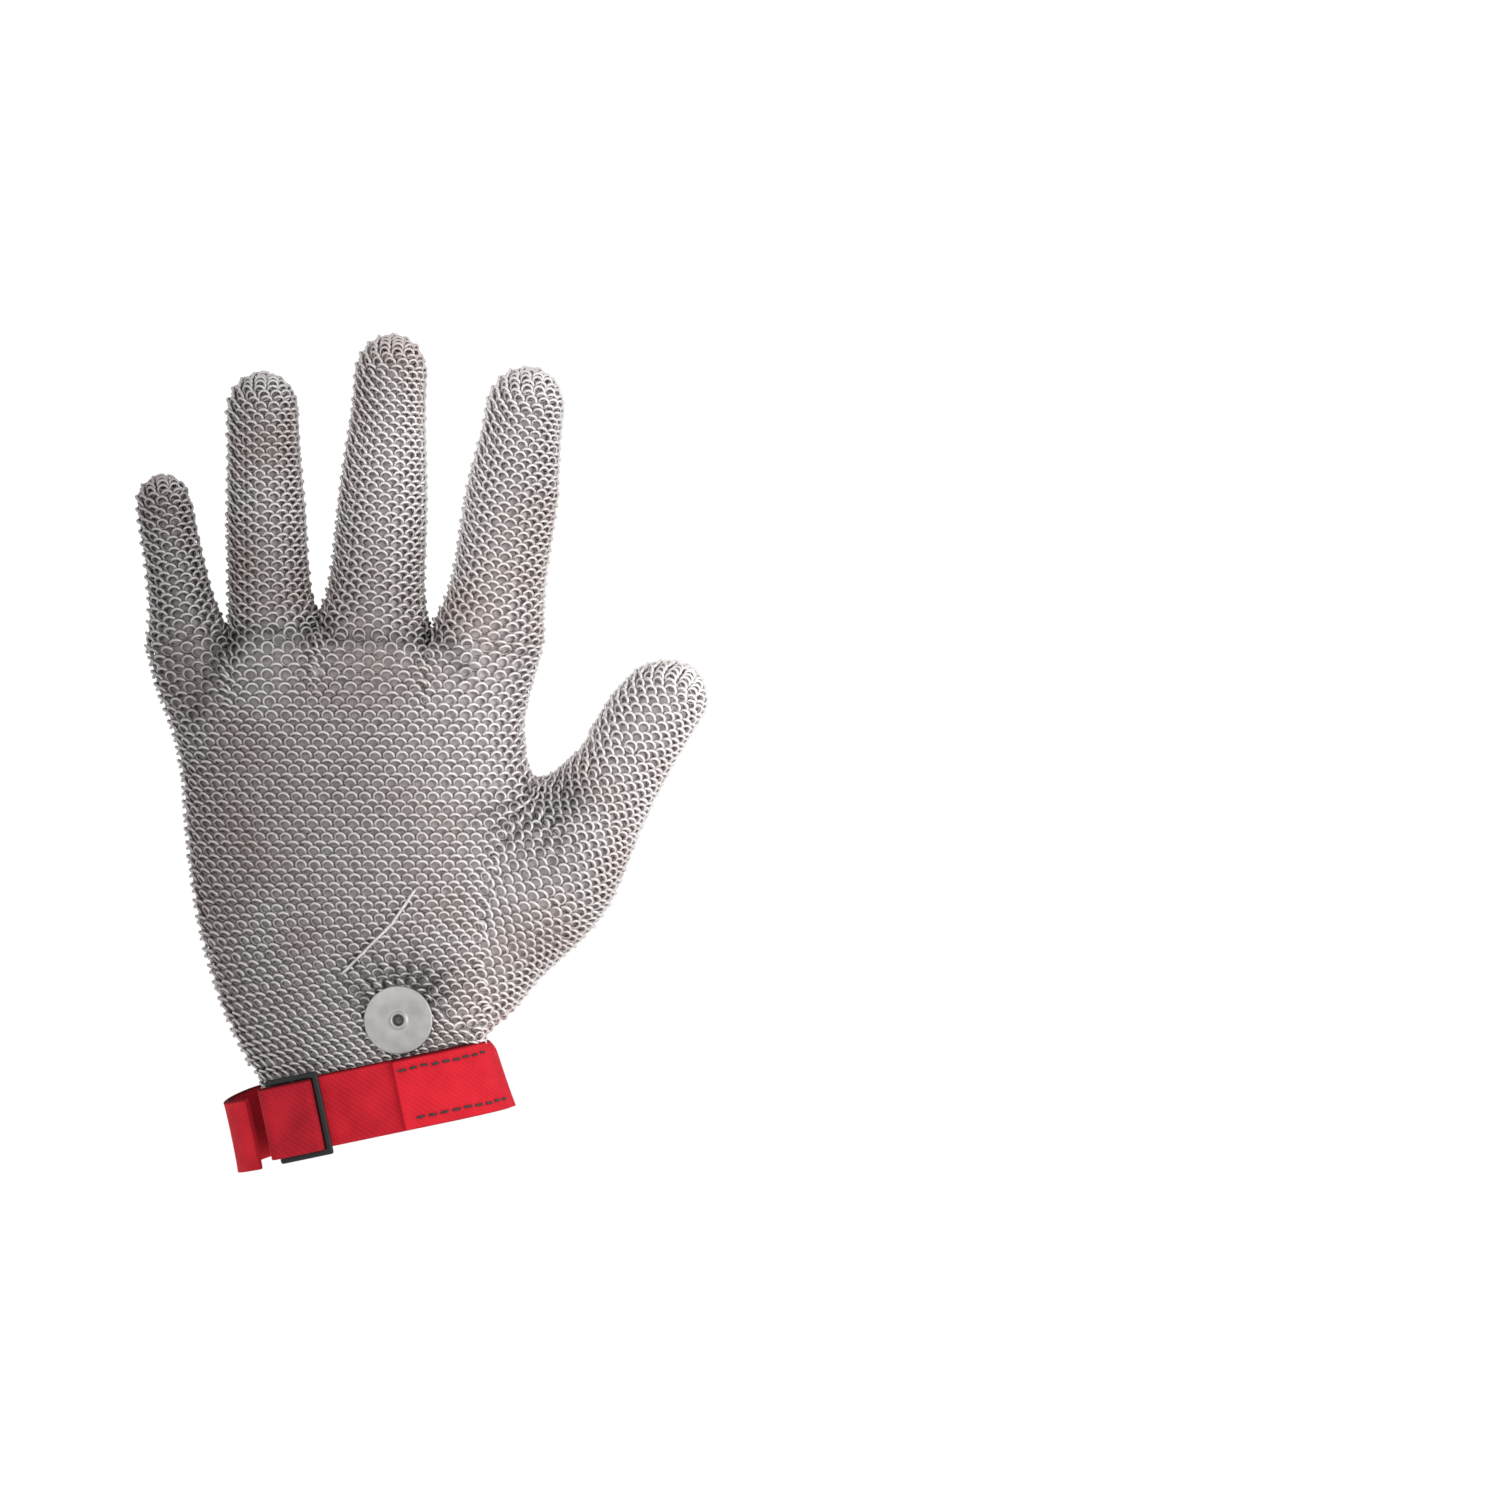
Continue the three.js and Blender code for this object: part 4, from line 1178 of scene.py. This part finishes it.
slider = {
    "length": 15.2, "height": 24, "bar": 1.9, "thickness": 1.6, "round": 0.7,
    "centre": (-18.9, 1.9),         # along the strap and up it
    "front": -21.8,                 # depth of its front face
    "loopDrops": 0.4,               # the loop sits a little lower than the strap
}


def sliderBars():
    bm = bmesh.new()
    halfLength, halfHeight, bar = slider["length"] / 2, slider["height"] / 2, slider["bar"]
    middle = slider["front"] + slider["thickness"] / 2
    # four outer bars and the middle one, as one welded grid, so that the bevel runs round every slot
    across = [-halfLength, -halfLength + bar, -bar / 2, bar / 2, halfLength - bar, halfLength]
    upward = [-halfHeight, -halfHeight + bar, halfHeight - bar, halfHeight]
    slots = {(1, 1), (3, 1)}
    corners = {}
    for face in (-1, 1):
        for i, x in enumerate(across):
            for j, z in enumerate(upward):
                corners[face, i, j] = bm.verts.new((x, face * slider["thickness"] / 2, z))
    solid = [(i, j) for i in range(5) for j in range(3) if (i, j) not in slots]
    for i, j in solid:
        for face in (-1, 1):
            loop = [corners[face, *corner] for corner in ((i, j), (i + 1, j), (i + 1, j + 1), (i, j + 1))]
            bm.faces.new(loop if face < 0 else loop[::-1])
        for di, dj, a, b in ((-1, 0, (i, j + 1), (i, j)), (1, 0, (i + 1, j), (i + 1, j + 1)),
                             (0, -1, (i, j), (i + 1, j)), (0, 1, (i + 1, j + 1), (i, j + 1))):
            if (i + di, j + dj) not in solid:
                bm.faces.new([corners[-1, *a], corners[1, *a], corners[1, *b], corners[-1, *b]])
    bmesh.ops.recalc_face_normals(bm, faces=bm.faces[:])
    sharp = [e for e in bm.edges if len(e.link_faces) == 2 and e.calc_face_angle() > 0.5]
    bmesh.ops.bevel(bm, geom=sharp, offset=slider["round"], segments=4, affect="EDGES", profile=0.5,
                    clamp_overlap=True)
    mesh = bpy.data.meshes.new("slider_bars")
    points = np.array([v.co[:] for v in bm.verts])
    points += [slider["centre"][0], middle, slider["centre"][1]]
    for vert, point in zip(bm.verts, strapPoint(*points.T) * mm):
        vert.co = point
    bm.to_mesh(mesh)
    bm.free()
    for polygon in mesh.polygons:
        polygon.use_smooth = True
    made = bpy.data.objects.new("slider_bars", mesh)
    bpy.context.scene.collection.objects.link(made)
    made.data.materials.append(plastic)
    return made


attach(sliderBars(), ["slider_frame"], "slider")

loopLeft = slider["centre"][0] - slider["length"] / 2
loopMiddle = slider["front"] + slider["thickness"] / 2
loopTurn = (slider["thickness"] + strap["thickness"]) / 2 + 0.3
slotRight = slider["centre"][0] + slider["length"] / 2 - slider["bar"] - 0.3 - strap["thickness"] / 2
loopLine = [
    (loopLeft + slider["length"] - 0.4, loopMiddle + loopTurn),
    *arcLine((loopLeft, loopMiddle), loopTurn, 90, 270, 30),
    (slotRight - 1.6, loopMiddle - loopTurn - 0.1), (slotRight - 0.7, loopMiddle - loopTurn + 0.2),
    (slotRight - 0.15, loopMiddle - loopTurn + 0.9), (slotRight, loopMiddle - loopTurn + 1.8),
    (slotRight, loopMiddle + 0.8),
]


def loopEdges(share):
    return strap["low"] - slider["loopDrops"], strap["high"] - slider["loopDrops"]


# the loop takes the red painted darker as painted shade
loop = webbing("loop_webbing", loopLine, loopEdges, paintedShadedRed, step=0.35)
attach(loop, ["strap_loop"], "slider")
print("slider threaded")


# The press stud: a broad pressed disc outside, with the clamping eyelet in its middle

stud = {"sides": 96, "eyelet": 1.1, "discHeight": 1.1, "rimRound": 0.35, "dish": 0.36, "shank": 5}


def turned(name, centre, outline, material):
    # a solid of revolution about an axis in depth; outline is (radius, depth) and closes on itself
    sides = stud["sides"]
    angles = 2 * np.pi * np.arange(sides) / sides
    radius, depth = [part[:, None] for part in np.array(outline, float).T]
    x, z = centre[0] + radius * np.cos(angles), centre[1] + radius * np.sin(angles)
    points = np.stack([x, np.broadcast_to(depth, x.shape), z], -1)
    count = len(outline)
    i, j = [part.ravel() for part in np.meshgrid(np.arange(count), np.arange(sides), indexing="ij")]
    row, nextRow, k = i * sides, (i + 1) % count * sides, (j + 1) % sides
    faces = np.stack([row + j, row + k, nextRow + k, nextRow + j], 1)
    return makeObject(name, points.reshape(-1, 3), faces, material)


discFront = studBox[0].y / mm
discBack = discFront + stud["discHeight"]
rimRound, eyelet = stud["rimRound"], stud["eyelet"]
rim = [(studRadius - rimRound + rimRound * math.cos(a), discBack - rimRound - rimRound * math.sin(a))
       for a in np.linspace(-1.5, 1.5, 9)]
dish = [(r, discFront + stud["dish"] * ((r - 4.5) / (studRadius - 5)) ** 2)
        for r in np.linspace(studRadius - 0.9, 3.4, 14)]
lip = [(2.1 + 0.45 * math.cos(a), discFront + 0.25 - 0.3 * math.sin(a))
       for a in np.linspace(0.2, math.pi - 0.2, 9)]
throat = [(1.5, discFront + 0.45), (eyelet, discFront + 0.9), (eyelet, discBack + stud["shank"])]
shank = [(eyelet + 0.6, discBack + stud["shank"]), (eyelet + 0.6, discBack + 0.2),
         (studRadius - 0.6, discBack)]
disc = turned("stud_disc", studCentre, [*shank, *rim, *dish, *lip, *throat], steel)
attach(disc, ["stud_cap"], "hand")
# the tab takes the red painted darker as painted shade
for node, material in (("stud_socket", steel), ("stud_spring", steel), ("stud_post", steel),
                       ("stud_back_eyelet", steel), ("strap_tab", paintedShadedRed)):
    frame["nodes"][node].data.materials.clear()
    frame["nodes"][node].data.materials.append(material)
print("stud set")


# Camera, lights and floor

view = {
    "frame": 0.4275,                # width that is seen, in metres
    "centre": (0.1087, 0.102),      # what is in the middle, across and up
    "distance": 3.0,
    "floor": -0.16,
    # place, size and watts of the soft lamps, and the brightness of the white room
    "keyLight": ((1.0, -0.9, 0.2), 0.7, 7),
    "fillLight": ((-0.4, -1.3, 0.5), 0.9, 2.4),
    "room": 1.02,
}


def areaLight(name):
    where, size, watts = view[name]
    light = bpy.data.lights.new(name, "AREA")
    light.shape = "SQUARE"
    light.size = size
    light.energy = watts
    lamp = bpy.data.objects.new(name, light)
    lamp.location = where
    lamp.rotation_euler = (Vector((0, 0, 0.1)) - Vector(where)).to_track_quat("-Z", "Y").to_euler()
    bpy.context.scene.collection.objects.link(lamp)


areaLight("keyLight")
areaLight("fillLight")

camera = bpy.data.objects.new("camera", bpy.data.cameras.new("camera"))
camera.location = (view["centre"][0], -view["distance"], view["centre"][1])
camera.rotation_euler = (math.pi / 2, 0, 0)
camera.data.lens = camera.data.sensor_width * view["distance"] / view["frame"]
camera.data.clip_end = 60
bpy.context.scene.collection.objects.link(camera)
bpy.context.scene.camera = camera

world = bpy.data.worlds.new("studio")
world.use_nodes = True
world.node_tree.nodes["Background"].inputs["Color"].default_value = (1, 1, 1, 1)
world.node_tree.nodes["Background"].inputs["Strength"].default_value = view["room"]
bpy.context.scene.world = world
bpy.context.scene.view_settings.view_transform = "Standard"

# a matt painted board, pale and even
floorMaterial, _, _ = startMaterial("paleStudioFloor", {"Roughness": 0.9, "Base Color": srgb("#fdfdfd")})
floorPoints = [(6000 * x, 6000 * y, view["floor"] / mm) for x, y in ((-1, -1), (1, -1), (1, 1), (-1, 1))]
makeObject("floor", floorPoints, [(0, 1, 2, 3)], floorMaterial, smooth=False)
print("camera and lights placed")

bpy.context.view_layer.update()
